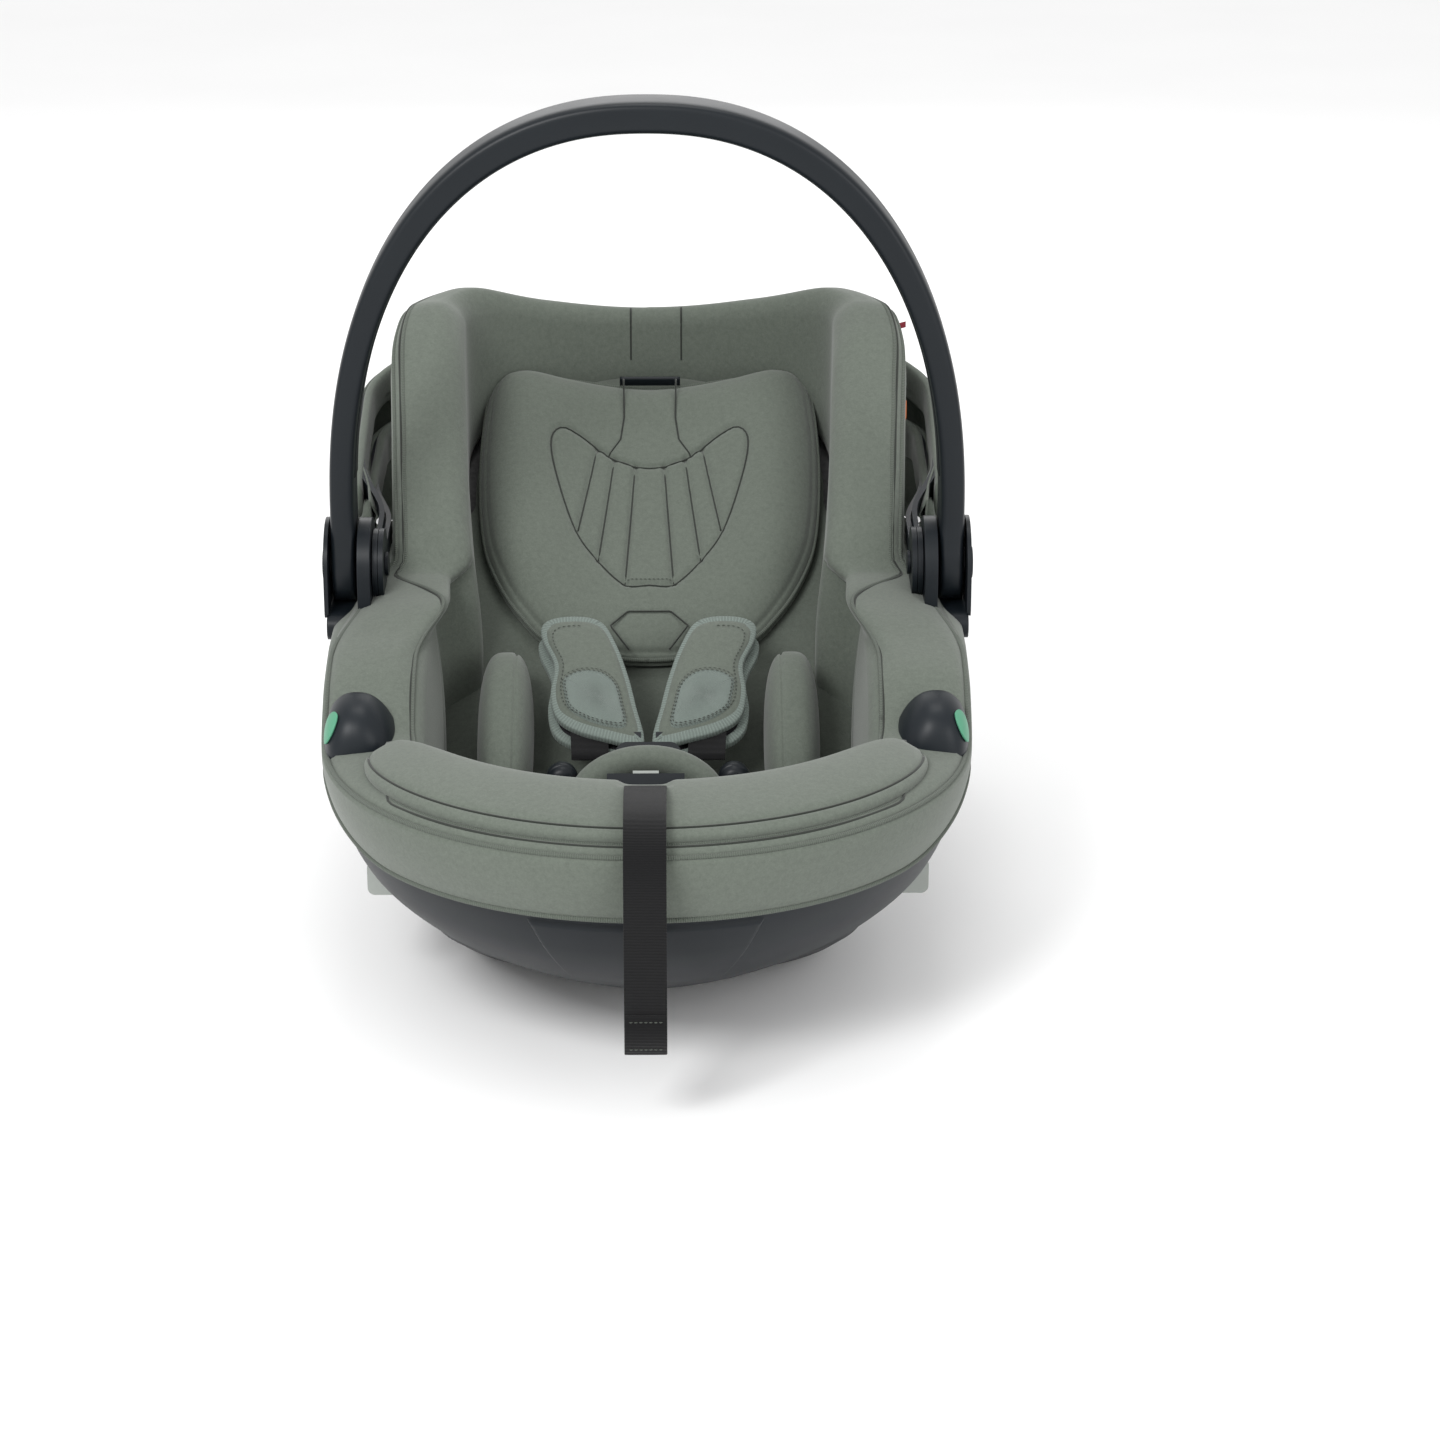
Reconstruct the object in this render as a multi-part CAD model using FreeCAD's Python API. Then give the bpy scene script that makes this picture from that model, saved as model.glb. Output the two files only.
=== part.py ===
import FreeCAD, Part
import math
import os

"""Infant car seat with a carrying handle, a folding canopy and a harness.

Frame: millimetres, +Z up, +Y towards the head end, -Y towards the foot end. The origin is the
centre of the flat rest area under the rocker base.
"""

V = FreeCAD.Vector

# ---------------------------------------------------------------- driving dimensions
# Tub: (height, foot end, head end, half width) of the outside of the shell
TUB = [
    (25, -190, 102, 112),
    (45, -232, 142, 142),
    (70, -272, 180, 168),
    (100, -302, 214, 187),
    (130, -320, 242, 197),
    (175, -334, 270, 204),
    (215, -338, 289, 206),
    (243, -339, 297, 171),
    (300, -340, 312, 174),
    (370, -340, 322, 180),
    (420, -340, 327, 184),
]
FOOT_ROUND = 190      # length of the rounded foot end in plan
HEAD_ROUND = 165      # length of the rounded head end in plan
SHELL_WALL = 4.0
# Height of the shell's rim along the seat: (y, z)
RIM = [
    (-380, 168), (-338, 168), (-250, 170), (-190, 172), (-160, 176), (-132, 190), (-108, 202),
    (-60, 214), (-20, 221), (26, 224),
    (50, 248), (90, 288), (140, 328), (180, 356), (212, 368), (248, 368), (283, 352),
    (303, 336), (322, 317), (360, 300),
]
# Lower edge of the outer cover: (y, z)
COVER_HEM = [(-380, 127), (-320, 127), (-250, 129), (-190, 146), (-150, 161), (-60, 165), (360, 172)]
COVER_THICK = 4.0     # padded fabric on the outside of the shell
COVER_LIP = 9.0       # padded fabric over the rim
SKIN_GAP = 0.3        # clearance between a soft piece and what it lies on
BORDER = 46.0         # width of the padded side border
FOOT_BORDER = 72.0
LIP_THICK = 17.0      # crescent cushion on the foot end
HEAD_BORDER = 34.0
CAVITY_HEAD_ROUND = 46.0
PAD_THICK = 15.0      # seat pad
LINER_THICK = 14.0    # energy absorbing foam under the pad

# Sitting surface: a straight back line from BACK_LOW, rising at BACK_ANGLE
BACK_LOW_Y = -30.0
BACK_LOW_Z = 95.0
BACK_ANGLE = 34.9
SEAT_FRONT = [(-300, 188), (-262, 166), (-225, 146), (-150, 106), (-60, 91)]

# Rocker base: (height, foot end, head end, half width)
BASE = [
    (0, -96, 104, 121),
    (6, -122, 122, 129),
    (18, -156, 140, 134),
    (42, -200, 150, 141),
    (72, -236, 156, 152),
]
BASE_ROUND = 88.0
FOOT_PAD_R = 9.0
FOOT_PAD_DEEP = 2.0
LATCH_BAR_R = 4.0
LATCH_BAR_Y = 100.0
LATCH_BAR_Z = 15.0
LATCH_SLOT = (70.0, 26.0)
BASE_WALL = 4.0
SCREW_R = 3.0

# Handle
PIVOT_Y = 10.0
PIVOT_Z = 250.0
HANDLE_OUT = 212.5    # half width over the arms
HANDLE_RISE = 316.0   # pivot to the top of the arch
HANDLE_POWER = 2.25   # roundness of the arch
ARM_STRAIGHT = 40.0   # straight arms above the pivot
HANDLE_THICK = 21.0   # radial thickness of the arch
HANDLE_WIDE = 38.0    # along the seat
ARM_THICK = 17.0      # at the pivot
INNER_TRIM = 5.0
END_R = 25.0
RUN_GAP = 0.4         # clearance between a turning piece and a wall
SLOT_GAP = 0.9        # each side of the handle's arm in its hub
PIN_R = 5.0
PIN_FIT = 0.05
BUTTON_R = 11.5
BUTTON_DEEP = 6.0
BUTTON_TRAVEL = 3.0

# Handle hub
HUB_R = 33.0
HUB_IN = 185.0
HUB_OUT = 217.0
HUB_LOW = 176.0

# Canopy
MID_ANGLE = 5.0       # folded middle bow, above horizontal
FRONT_ANGLE = 14.0    # folded front bow
BOW_PLATE = 3.4       # hinge plate thickness
BOW_R = 24.0
BOW_TALL = 16.0
FRONT_BOW = (205.0, 337.0, 58.0)   # half width and reach of the outer edge, straight arm
MID_BOW = (197.0, 330.0, 64.0)
BOW_ROUND_FROM = 215.0  # past the corners of the seat's head end
RIVET_AT = 50.0       # out along the arm
BOW_BAR = 5.0
CANOPY_OUT = 225.0
CANOPY_BACK = 345.0
CANOPY_HEAD_ROUND = 150.0

# Harness
WEB = 25.0
WEB_THICK = 1.6
STRAP_WEB = 26.0

# Headrest
REST_LOW = 114.0       # distance of its lower edge up the back line
REST_THICK = 30.0
REST_GAP = 0.8
REST_PLATE = 3.0
REST_OUTLINE = [(62, 5), (92, 35), (111, 75), (118, 115), (119, 172), (112, 224), (96, 237), (60, 230)]
REST_TOP = 222.0
REST_BOTTOM = -6.0


# ---------------------------------------------------------------- helpers
def box(x0, y0, z0, x1, y1, z1):
    return Part.makeBox(x1 - x0, y1 - y0, z1 - z0, V(x0, y0, z0))


def cyl_x(x0, x1, y, z, r):
    return Part.makeCylinder(r, x1 - x0, V(x0, y, z), V(1, 0, 0))


def table(rows, z, col):
    """Value of one column of a size table at height z."""
    if z <= rows[0][0]:
        return rows[0][col]
    for low, high in zip(rows, rows[1:]):
        if z <= high[0]:
            return low[col] + (high[col] - low[col]) * (z - low[0]) / (high[0] - low[0])
    return rows[-1][col]


def oval(z, foot, head, half, foot_round, head_round):
    """Closed plan outline: two half ellipses joined by straight sides."""
    length = head - foot
    fr = min(foot_round, 0.52 * length)
    hr = min(head_round, 0.42 * length)
    edges = []
    for depth, y, turn in ((fr, foot + fr, 180), (hr, head - hr, 0)):
        arc = Part.makeCircle(1, V(0, 0, 0), V(0, 0, 1), turn, turn + 180)
        m = FreeCAD.Matrix()
        m.A11, m.A22, m.A24, m.A34 = half, depth, y, z
        edges.append(arc.transformGeometry(m).Edges[0])
    front, back = edges
    right = Part.makeLine(V(half, foot + fr, z), V(half, head - hr, z))
    left = Part.makeLine(V(-half, head - hr, z), V(-half, foot + fr, z))
    return Part.Wire([front, right, back, left])


def tub(side, foot=None, head=None, low=None, head_round=None, top=420):
    """Solid inside the tub's outline, grown by side, foot and head (negative is inwards)."""
    foot = side if foot is None else foot
    head = side if head is None else head
    low = TUB[0][0] - side if low is None else low
    turn = HEAD_ROUND + head if head_round is None else head_round
    levels = [low] + [row[0] for row in TUB if row[0] > low + 12 and row[0] < top] + [top]
    wires = []
    for z in levels:
        wires.append(oval(
            z, table(TUB, z, 1) - foot, table(TUB, z, 2) + head, table(TUB, z, 3) + side,
            FOOT_ROUND + foot, turn))
    return Part.makeLoft(wires, True, True)


def profile_solid(points, closing_z, half=300):
    """Prism along X between a line of (y, z) points and the height closing_z."""
    first, last = points[0], points[-1]
    ring = [V(0, y, z) for y, z in points]
    ring += [V(0, last[0], closing_z), V(0, first[0], closing_z), V(0, first[0], first[1])]
    face = Part.Face(Part.makePolygon(ring))
    prism = face.extrude(V(2 * half, 0, 0))
    prism.translate(V(-half, 0, 0))
    return prism


def smooth_solid(points, closing_z, half=300):
    """As profile_solid, with a smooth curve through the points."""
    curve = Part.BSplineCurve()
    curve.interpolate([V(-half, y, z) for y, z in points])
    first, last = points[0], points[-1]
    sides = Part.makePolygon([
        V(-half, last[0], last[1]), V(-half, last[0], closing_z),
        V(-half, first[0], closing_z), V(-half, first[0], first[1])])
    wire = Part.Wire([curve.toShape()] + sides.Edges)
    return Part.Face(wire).extrude(V(2 * half, 0, 0))


def above_rim(rise):
    return smooth_solid([(y, z + rise) for y, z in RIM], 520)


def below_rim(rise):
    return smooth_solid([(y, z + rise) for y, z in RIM], -60)


def back_point(up, out=0.0, x=0.0):
    """Point at a distance up the back line and out from it."""
    a = math.radians(BACK_ANGLE)
    return V(x, BACK_LOW_Y + up * math.cos(a) - out * math.sin(a),
             BACK_LOW_Z + up * math.sin(a) + out * math.cos(a))


def placed(shape, centre, angle):
    """A copy turned up from Y by angle about X and moved to a centre."""
    moved = shape.copy()
    there = FreeCAD.Placement(centre, FreeCAD.Rotation(V(1, 0, 0), angle))
    moved.Placement = there.multiply(moved.Placement)
    return moved


def on_back(shape):
    """Moves a shape drawn flat (x across, y up the back, z out of it) onto the back line."""
    return placed(shape, V(0, BACK_LOW_Y, BACK_LOW_Z), BACK_ANGLE)


def cavity(grow):
    """Space above the sitting surface, inside the padded border, grown by grow."""
    plan = tub(grow - BORDER, grow - FOOT_BORDER, grow - HEAD_BORDER, low=70.0,
               head_round=CAVITY_HEAD_ROUND + grow)
    far = back_point(440)
    line = [(y, z - 1.15 * grow) for y, z in SEAT_FRONT]
    line = [(-380, line[0][1] + 40)] + line
    line += [(BACK_LOW_Y, BACK_LOW_Z - 1.15 * grow), (far.y, far.z - 1.15 * grow)]
    return plan.common(profile_solid(line, 520))


def one(shape):
    """The largest solid of a shape, cleaned."""
    solids = sorted(shape.Solids, key=lambda s: s.Volume)
    return solids[-1]


def mirrored(shape):
    return shape.mirror(V(0, 0, 0), V(1, 0, 0))


def rounded(shape, radius, pick):
    """Fillets the edges that pick chooses, and leaves the shape sharp if none fits."""
    edges = [e for e in shape.Edges if pick(e)]
    return shape.makeFillet(radius, edges) if edges else shape


def tilted_box(width, length, thick, centre, angle, radius=0.0):
    """Box about a centre, its length turned up from Y by angle."""
    shape = box(-width / 2, -length / 2, -thick / 2, width / 2, length / 2, thick / 2)
    if radius:
        shape = rounded(shape, radius, lambda e: abs(e.tangentAt(e.FirstParameter).z) > 0.9)
    return placed(shape, centre, angle)


def ellipsoid(rx, ry, rz, centre, angle=0.0):
    m = FreeCAD.Matrix()
    m.A11, m.A22, m.A33 = rx, ry, rz
    ball = Part.makeSphere(1).transformGeometry(m)
    return placed(ball, centre, angle)


def save(name, shape):
    shape.exportStep("parts/" + name + ".step")
    bad = "" if shape.isValid() else "  NOT VALID"
    print(f"{name:26s} solids {len(shape.Solids)}  volume {shape.Volume / 1000:9.1f} cm3{bad}")


def save_pair(name, left):
    save(name + "_left", left)
    save(name + "_right", mirrored(left))


# ---------------------------------------------------------------- shell and base
def seat_shell():
    outside = tub(0)
    inside = tub(-SHELL_WALL)
    shell = outside.cut(inside).cut(above_rim(0))
    return one(shell)


def rocker_base():
    def loft(inset):
        wires = []
        for z, foot, head, half in BASE:
            round_end = BASE_ROUND - inset
            wires.append(oval(z + inset, foot + inset, head - inset, half - inset, round_end, round_end))
        return Part.makeLoft(wires, True, True)
    half_slot = LATCH_SLOT[0] / 2
    hollow = loft(BASE_WALL)
    for y in (-LATCH_BAR_Y, LATCH_BAR_Y):
        hollow = hollow.cut(box(-half_slot - 13, y - LATCH_SLOT[1] / 2 - BASE_WALL, 0,
                                half_slot + 13, y + LATCH_SLOT[1] / 2 + BASE_WALL, 80))
    for x, y in screw_places():
        hollow = hollow.cut(Part.makeCylinder(SCREW_R * 2 + 3, 80, V(x, y, 0)))
    block = loft(0).cut(hollow).cut(tub(0))
    for y in (-LATCH_BAR_Y, LATCH_BAR_Y):
        slot = box(-half_slot, y - LATCH_SLOT[1] / 2, -1, half_slot, y + LATCH_SLOT[1] / 2, LATCH_BAR_Z + 8)
        block = block.cut(slot).cut(cyl_x(-half_slot - 12, half_slot + 12, y, LATCH_BAR_Z, LATCH_BAR_R))
    for x, y in foot_places():
        block = block.cut(Part.makeCylinder(FOOT_PAD_R, FOOT_PAD_DEEP, V(x, y, 0)))
    for x, y in screw_places():
        block = block.cut(Part.makeCylinder(SCREW_R * 2 + 0.5, 14, V(x, y, -1)))
        block = block.cut(Part.makeCylinder(SCREW_R, 30, V(x, y, 5)))
    return one(block)


def foot_places():
    return [(x, y) for x in (-88, 88) for y in (-62, 74)]


def screw_places():
    return [(x, y) for x in (-60, 60) for y in (-40, 50)]


def rubber_feet():
    feet = []
    for x, y in foot_places():
        feet.append(Part.makeCylinder(FOOT_PAD_R, FOOT_PAD_DEEP, V(x, y, 0)))
    return Part.makeCompound(feet)


def base_screws():
    screws = []
    for x, y in screw_places():
        head = Part.makeCylinder(SCREW_R * 2, 4, V(x, y, 9))
        shank = Part.makeCylinder(SCREW_R, TUB[0][0] - 13, V(x, y, 13))
        screws.append(head.fuse(shank).removeSplitter())
    return Part.makeCompound(screws)


def latch_bar(y):
    half = LATCH_SLOT[0] / 2 + 12
    return cyl_x(-half, half, y, LATCH_BAR_Z, LATCH_BAR_R)


PANEL_RAISE = 3.0
PANEL_TOP, PANEL_LOW = 124.0, 52.0            # heights of its edges
PANEL_TOP_HALF, PANEL_LOW_HALF = 72.0, 54.0   # half widths at those edges
BEYOND = 400.0                                # past the end of every piece


def front_panel():
    """Raised panel at the middle of the foot end, wider at its top."""
    skin = tub(PANEL_RAISE).cut(tub(0))
    corners = [(-PANEL_TOP_HALF, PANEL_TOP), (PANEL_TOP_HALF, PANEL_TOP),
               (PANEL_LOW_HALF, PANEL_LOW), (-PANEL_LOW_HALF, PANEL_LOW)]
    face = Part.Face(Part.makePolygon([V(x, -BEYOND, z) for x, z in corners + corners[:1]]))
    return one(skin.common(face.extrude(V(0, 0.55 * BEYOND, 0))))


LEVER_TAB = (-184.0, -134.0, 68.0, -162.0, -112.0, 92.0)    # low and high corners of the left tab
LEVER_ARM = (-181.0, -112.0, 74.0, -173.0, -40.0, 88.0)
LEVER_ROUND = 5.0
LEVER_SPLAY = 4.0                             # the arm follows the shell's flank


def release_lever():
    """Grey squeeze lever at the left corner of the foot end, with its arm under the shell."""
    tab = rounded(box(*LEVER_TAB), LEVER_ROUND, lambda e: abs(e.tangentAt(e.FirstParameter).y) > 0.9)
    arm = box(*LEVER_ARM)
    root = V((LEVER_ARM[0] + LEVER_ARM[3]) / 2, LEVER_ARM[1], (LEVER_ARM[2] + LEVER_ARM[5]) / 2)
    arm.rotate(root, V(0, 0, 1), LEVER_SPLAY)
    lever = tab.fuse(arm)
    return one(lever.cut(tub(RUN_GAP)))


def eps_liner():
    block = tub(-SHELL_WALL - SKIN_GAP).common(cavity(PAD_THICK + LINER_THICK))
    block = block.cut(cavity(PAD_THICK + SKIN_GAP)).cut(above_rim(0))
    return one(block)


def seat_pad():
    pad = tub(-SHELL_WALL - SKIN_GAP).common(cavity(PAD_THICK))
    return one(pad.cut(cavity(0)).cut(above_rim(0)))


def outer_cover():
    body = tub(COVER_THICK + SKIN_GAP, low=80).common(below_rim(COVER_LIP))
    core = tub(SKIN_GAP, low=60).common(below_rim(SKIN_GAP))
    hem = smooth_solid(COVER_HEM, -60)
    cover = body.cut(core).cut(cavity(0)).cut(hem)
    for side in (1, -1):
        cover = cover.cut(hub_space(side))
    return one(cover)


def hub_space(side):
    """Room in the outer cover for the handle hub."""
    low, high = sorted((side * 150.0, side * 260.0))
    inner, outer = sorted((side * (HUB_IN - 11), side * 260.0))
    wide = HUB_R + 6
    keep = box(inner, PIVOT_Y - wide, HUB_LOW - 1, outer, PIVOT_Y + wide, 420)
    return keep


def lip_cushion():
    """Crescent cushion on the foot end of the rim."""
    outer = tub(-9, -5, -5, low=120)
    inner = tub(-58, -FOOT_BORDER - 4, -5, low=100)
    band = below_rim(COVER_LIP + LIP_THICK).cut(below_rim(COVER_LIP + SKIN_GAP))
    crescent = outer.cut(inner).common(band)
    crescent = crescent.common(box(-158, -400, 0, 158, -172, 400))
    return one(crescent.cut(strap_tunnel()))


def strap_tunnel():
    return box(-STRAP_WEB / 2 - 2, -280, 120, STRAP_WEB / 2 + 2, -220, 300)


# ---------------------------------------------------------------- handle and hubs
def arch(out, rise, steps=12):
    """Smooth arch over two straight arms: a rounded oval from the top of the arms."""
    points = []
    for i in range(2 * steps + 1):
        t = math.pi * (1 - i / (2 * steps))
        c, s = math.cos(t), math.sin(t)
        x = out * math.copysign(abs(c) ** (2 / HANDLE_POWER), c)
        z = PIVOT_Z + ARM_STRAIGHT + (rise - ARM_STRAIGHT) * abs(s) ** (2 / HANDLE_POWER)
        points.append(V(x, 0, z))
    points[0].x, points[-1].x = -out, out
    curve = Part.BSplineCurve()
    curve.interpolate(points, InitialTangent=V(0, 0, 1), FinalTangent=V(0, 0, -1))
    left = Part.makeLine(V(-out, 0, PIVOT_Z), points[0])
    right = Part.makeLine(points[-1], V(out, 0, PIVOT_Z))
    return [left, curve.toShape(), right]


def arch_band(out, inn, y0, y1):
    """Band between two arches, given as (half width, rise), cut level with the pivot."""
    ends = []
    for side in (1, -1):
        ends.append(Part.makeLine(V(side * out[0], 0, PIVOT_Z), V(side * inn[0], 0, PIVOT_Z)))
    wire = Part.Wire(Part.__sortEdges__(arch(*out) + arch(*inn) + ends))
    band = Part.Face(wire).extrude(V(0, y1 - y0, 0))
    band.translate(V(0, y0, 0))
    return band


def handle_end(side):
    x0, x1 = sorted((side * (HANDLE_OUT - ARM_THICK), side * HANDLE_OUT))
    return cyl_x(x0, x1, PIVOT_Y, PIVOT_Z, END_R)


def handle_bow():
    y0, y1 = PIVOT_Y - HANDLE_WIDE / 2, PIVOT_Y + HANDLE_WIDE / 2
    inside = (HANDLE_OUT - ARM_THICK, HANDLE_RISE - HANDLE_THICK)
    band = arch_band((HANDLE_OUT, HANDLE_RISE), inside, y0, y1)
    for side in (-1, 1):
        band = band.fuse(handle_end(side))
    for side in (-1, 1):
        x0, x1 = sorted((side * (HANDLE_OUT - BUTTON_DEEP), side * (HANDLE_OUT + 1)))
        band = band.cut(cyl_x(x0, x1, PIVOT_Y, PIVOT_Z, BUTTON_R + 1))
        x0, x1 = sorted((side * (HUB_IN - 1), side * HANDLE_OUT))
        band = band.cut(cyl_x(x0, x1, PIVOT_Y, PIVOT_Z, PIN_R + PIN_FIT))
    return one(band.cut(handle_trim_space()))


def trim_band(half, depth):
    """Part of the arch's inner face, half as wide on each side, depth into the arch."""
    inside = (HANDLE_OUT - ARM_THICK, HANDLE_RISE - HANDLE_THICK)
    outer = (inside[0] + depth, inside[1] + depth)
    band = arch_band(outer, inside, PIVOT_Y - half, PIVOT_Y + half)
    return band.common(box(-260, -100, PIVOT_Z + 60, 260, 100, 700))


def handle_trim_space():
    return trim_band(HANDLE_WIDE / 2 - 6, INNER_TRIM)


def handle_inner_trim():
    return one(trim_band(HANDLE_WIDE / 2 - 6 - 0.05, INNER_TRIM))


def hub_housing():
    """Clevis on the left of the shell that holds the handle's end."""
    slot_in = HANDLE_OUT - ARM_THICK - SLOT_GAP
    slot_out = HANDLE_OUT + SLOT_GAP
    rear, front = PIVOT_Y + HUB_R, PIVOT_Y - HUB_R
    top = Part.Arc(V(-HUB_OUT, rear, PIVOT_Z), V(-HUB_OUT, PIVOT_Y, PIVOT_Z + HUB_R),
                   V(-HUB_OUT, front, PIVOT_Z)).toShape()
    sides = Part.makePolygon([
        V(-HUB_OUT, front, PIVOT_Z), V(-HUB_OUT, front, HUB_LOW),
        V(-HUB_OUT, rear, HUB_LOW), V(-HUB_OUT, rear, PIVOT_Z)])
    hub = Part.Face(Part.Wire([top] + sides.Edges)).extrude(V(HUB_OUT - HUB_IN, 0, 0))
    rims = [e for e in hub.Edges if e.BoundBox.XLength < 1 and e.CenterOfMass.z > HUB_LOW + 5]
    hub = hub.makeFillet(3.0, rims)
    hub = hub.cut(box(-slot_out, -200, PIVOT_Z - END_R - RUN_GAP, -slot_in, 200, 400))
    hub = hub.cut(cyl_x(-HUB_OUT - 1, -slot_out + 1, PIVOT_Y, PIVOT_Z, BUTTON_R + 0.3))
    hub = hub.cut(cyl_x(-slot_in - 1, -HUB_IN + 1, PIVOT_Y, PIVOT_Z, PIN_R))
    return one(hub.cut(tub(0)))


def pivot_pin():
    return cyl_x(-(HANDLE_OUT - BUTTON_DEEP - 0.6), -(HUB_IN - 0.5), PIVOT_Y, PIVOT_Z, PIN_R)


def handle_button():
    floor = HANDLE_OUT - BUTTON_DEEP + BUTTON_TRAVEL + 0.5
    button = cyl_x(-(HUB_OUT + 2.5), -floor, PIVOT_Y, PIVOT_Z, BUTTON_R)
    outer = [e for e in button.Edges if e.CenterOfMass.x < -HUB_OUT - 1]
    return button.makeFillet(1.5, outer)


# ---------------------------------------------------------------- canopy
def turn_to_fold(shape, angle):
    shape.rotate(V(0, PIVOT_Y, PIVOT_Z), V(1, 0, 0), angle)
    return shape


def bow(half, reach, straight, plate_x, angle):
    """Flat bar from the left hinge plate round the head end to the right one.

    Drawn level through the pivot, then turned up to the folded angle.
    """
    def edge(inset):
        h, r = half - inset, reach - inset
        x = plate_x + BOW_PLATE - inset * BOW_PLATE / BOW_BAR
        side = [V(-x, u, 0) for u in (0, straight / 3, straight * 2 / 3, straight)]
        flare = [V(-h + 3, straight + 52, 0), V(-h, straight + 80, 0)]
        around = []
        for i in range(1, 8):
            t = math.pi / 2 * i / 8
            around.append(V(-h * math.cos(t), BOW_ROUND_FROM + (r - BOW_ROUND_FROM) * math.sin(t), 0))
        left = side + flare + around
        right = [V(-p.x, p.y, 0) for p in reversed(left)]
        curve = Part.BSplineCurve()
        curve.interpolate(left + [V(0, r, 0)] + right)
        return curve.toShape(), left[0], right[-1]
    outer, a0, a1 = edge(0.0)
    inner, b0, b1 = edge(BOW_BAR)
    wire = Part.Wire([outer, Part.makeLine(a1, b1), inner, Part.makeLine(b0, a0)])
    bar = Part.Face(wire).extrude(V(0, 0, BOW_TALL))
    bar.translate(V(0, PIVOT_Y, PIVOT_Z - BOW_TALL / 2))
    for side in (-1, 1):
        x0, x1 = sorted((side * plate_x, side * (plate_x + BOW_PLATE)))
        bar = bar.fuse(cyl_x(x0, x1, PIVOT_Y, PIVOT_Z, BOW_R))
    for side in (-1, 1):
        x0, x1 = sorted((side * (plate_x - 1), side * (plate_x + BOW_PLATE + 1)))
        bar = bar.cut(cyl_x(x0, x1, PIVOT_Y, PIVOT_Z, PIN_R + PIN_FIT))
    return one(turn_to_fold(bar, angle))


PLATE_MID = HUB_IN - 2 * (BOW_PLATE + RUN_GAP)
PLATE_FRONT = HUB_IN - BOW_PLATE - RUN_GAP


def canopy_pin():
    pin = cyl_x(-(HUB_IN - 0.5), -(PLATE_MID - 1), PIVOT_Y, PIVOT_Z, PIN_R)
    head = cyl_x(-(PLATE_MID - RUN_GAP), -(PLATE_MID - RUN_GAP - 2), PIVOT_Y, PIVOT_Z, PIN_R + 3)
    return pin.fuse(head).removeSplitter()


def canopy_rivet():
    """Round rivet head on the outside of the left bow arm."""
    x = PLATE_FRONT + BOW_PLATE
    ball = Part.makeSphere(3.2, V(-x + 1.2, PIVOT_Y + RIVET_AT, PIVOT_Z + 3))
    ball = ball.common(box(-x - 10, 0, 0, -x - 0.0, 400, 400))
    return turn_to_fold(ball, FRONT_ANGLE)


def canopy_fabric():
    """Folded canopy: a collar round the head end, below the folded bows."""
    def ring(grow_side, back, low):
        wires = []
        for z, spread in ((200, 0.0), (240, 1.0), (330, 1.0)):
            wires.append(oval(z, -60, back, grow_side - (1 - spread) * 6, 60, CANOPY_HEAD_ROUND))
        return Part.makeLoft(wires, True, True)
    outer = ring(CANOPY_OUT, CANOPY_BACK, 200)
    inner = tub(COVER_THICK + SKIN_GAP + 0.4, low=150)
    a = math.radians(MID_ANGLE)
    low_gap = BOW_TALL / 2 + 2
    y0, y1 = PIVOT_Y + HUB_R + 8, 400
    z0 = PIVOT_Z + (y0 - PIVOT_Y) * math.tan(a) - low_gap
    z1 = PIVOT_Z + (y1 - PIVOT_Y) * math.tan(a) - low_gap
    side = Part.Face(Part.makePolygon([
        V(-260, y0, 205), V(-260, y0, z0), V(-260, y1, z1), V(-260, y1, 262), V(-260, y0, 205)]))
    block = side.extrude(V(520, 0, 0))
    return one(outer.common(block).cut(inner))


# ---------------------------------------------------------------- belt guides
GUIDE = V(-184, -158, 162)
GUIDE_SIZE = (24.0, 26.0, 53.0)
GUIDE_WALL = 5.0


def cover_room():
    """Space that the outer cover fills round the rim."""
    return tub(COVER_THICK + SKIN_GAP + 0.2, low=80).common(below_rim(COVER_LIP + 0.2))


def belt_guide():
    """Hooded lap belt guide on the left of the rim, open towards the head end."""
    dome = ellipsoid(*GUIDE_SIZE, GUIDE)
    dome = dome.cut(ellipsoid(*[r - GUIDE_WALL for r in GUIDE_SIZE], GUIDE))
    dome = dome.common(box(GUIDE.x - 40, GUIDE.y - 40, GUIDE.z, GUIDE.x + 40, GUIDE.y + 12, GUIDE.z + 60))
    return one(dome.cut(cover_room()))


def belt_marker():
    """Green insert on the outer side of the left belt guide."""
    skin = ellipsoid(*[r + 1.2 for r in GUIDE_SIZE], GUIDE)
    skin = skin.cut(ellipsoid(*[r + 0.05 for r in GUIDE_SIZE], GUIDE))
    window = box(GUIDE.x - 40, GUIDE.y - 14, GUIDE.z + 16, GUIDE.x - 16, GUIDE.y + 4, GUIDE.z + 36)
    return one(skin.common(window).cut(cover_room()))


# ---------------------------------------------------------------- headrest and pads
def rest_outline(inset):
    half = [(x - inset * (1 if x > 0 else 0), y) for x, y in REST_OUTLINE]
    points = [V(0, REST_BOTTOM + inset, 0)]
    points += [V(x, y + (inset if y < 100 else -inset), 0) for x, y in half]
    points.append(V(0, REST_TOP - inset, 0))
    points += [V(-p.x, p.y, 0) for p in reversed(points[1:-1])]
    curve = Part.BSplineCurve()
    curve.interpolate(points, PeriodicFlag=True)
    return Part.Face(Part.Wire(curve.toShape()))


def rest_solid(inset, low, thick):
    solid = rest_outline(inset).extrude(V(0, 0, thick))
    solid.translate(V(0, REST_LOW, low))
    return on_back(solid)


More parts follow.
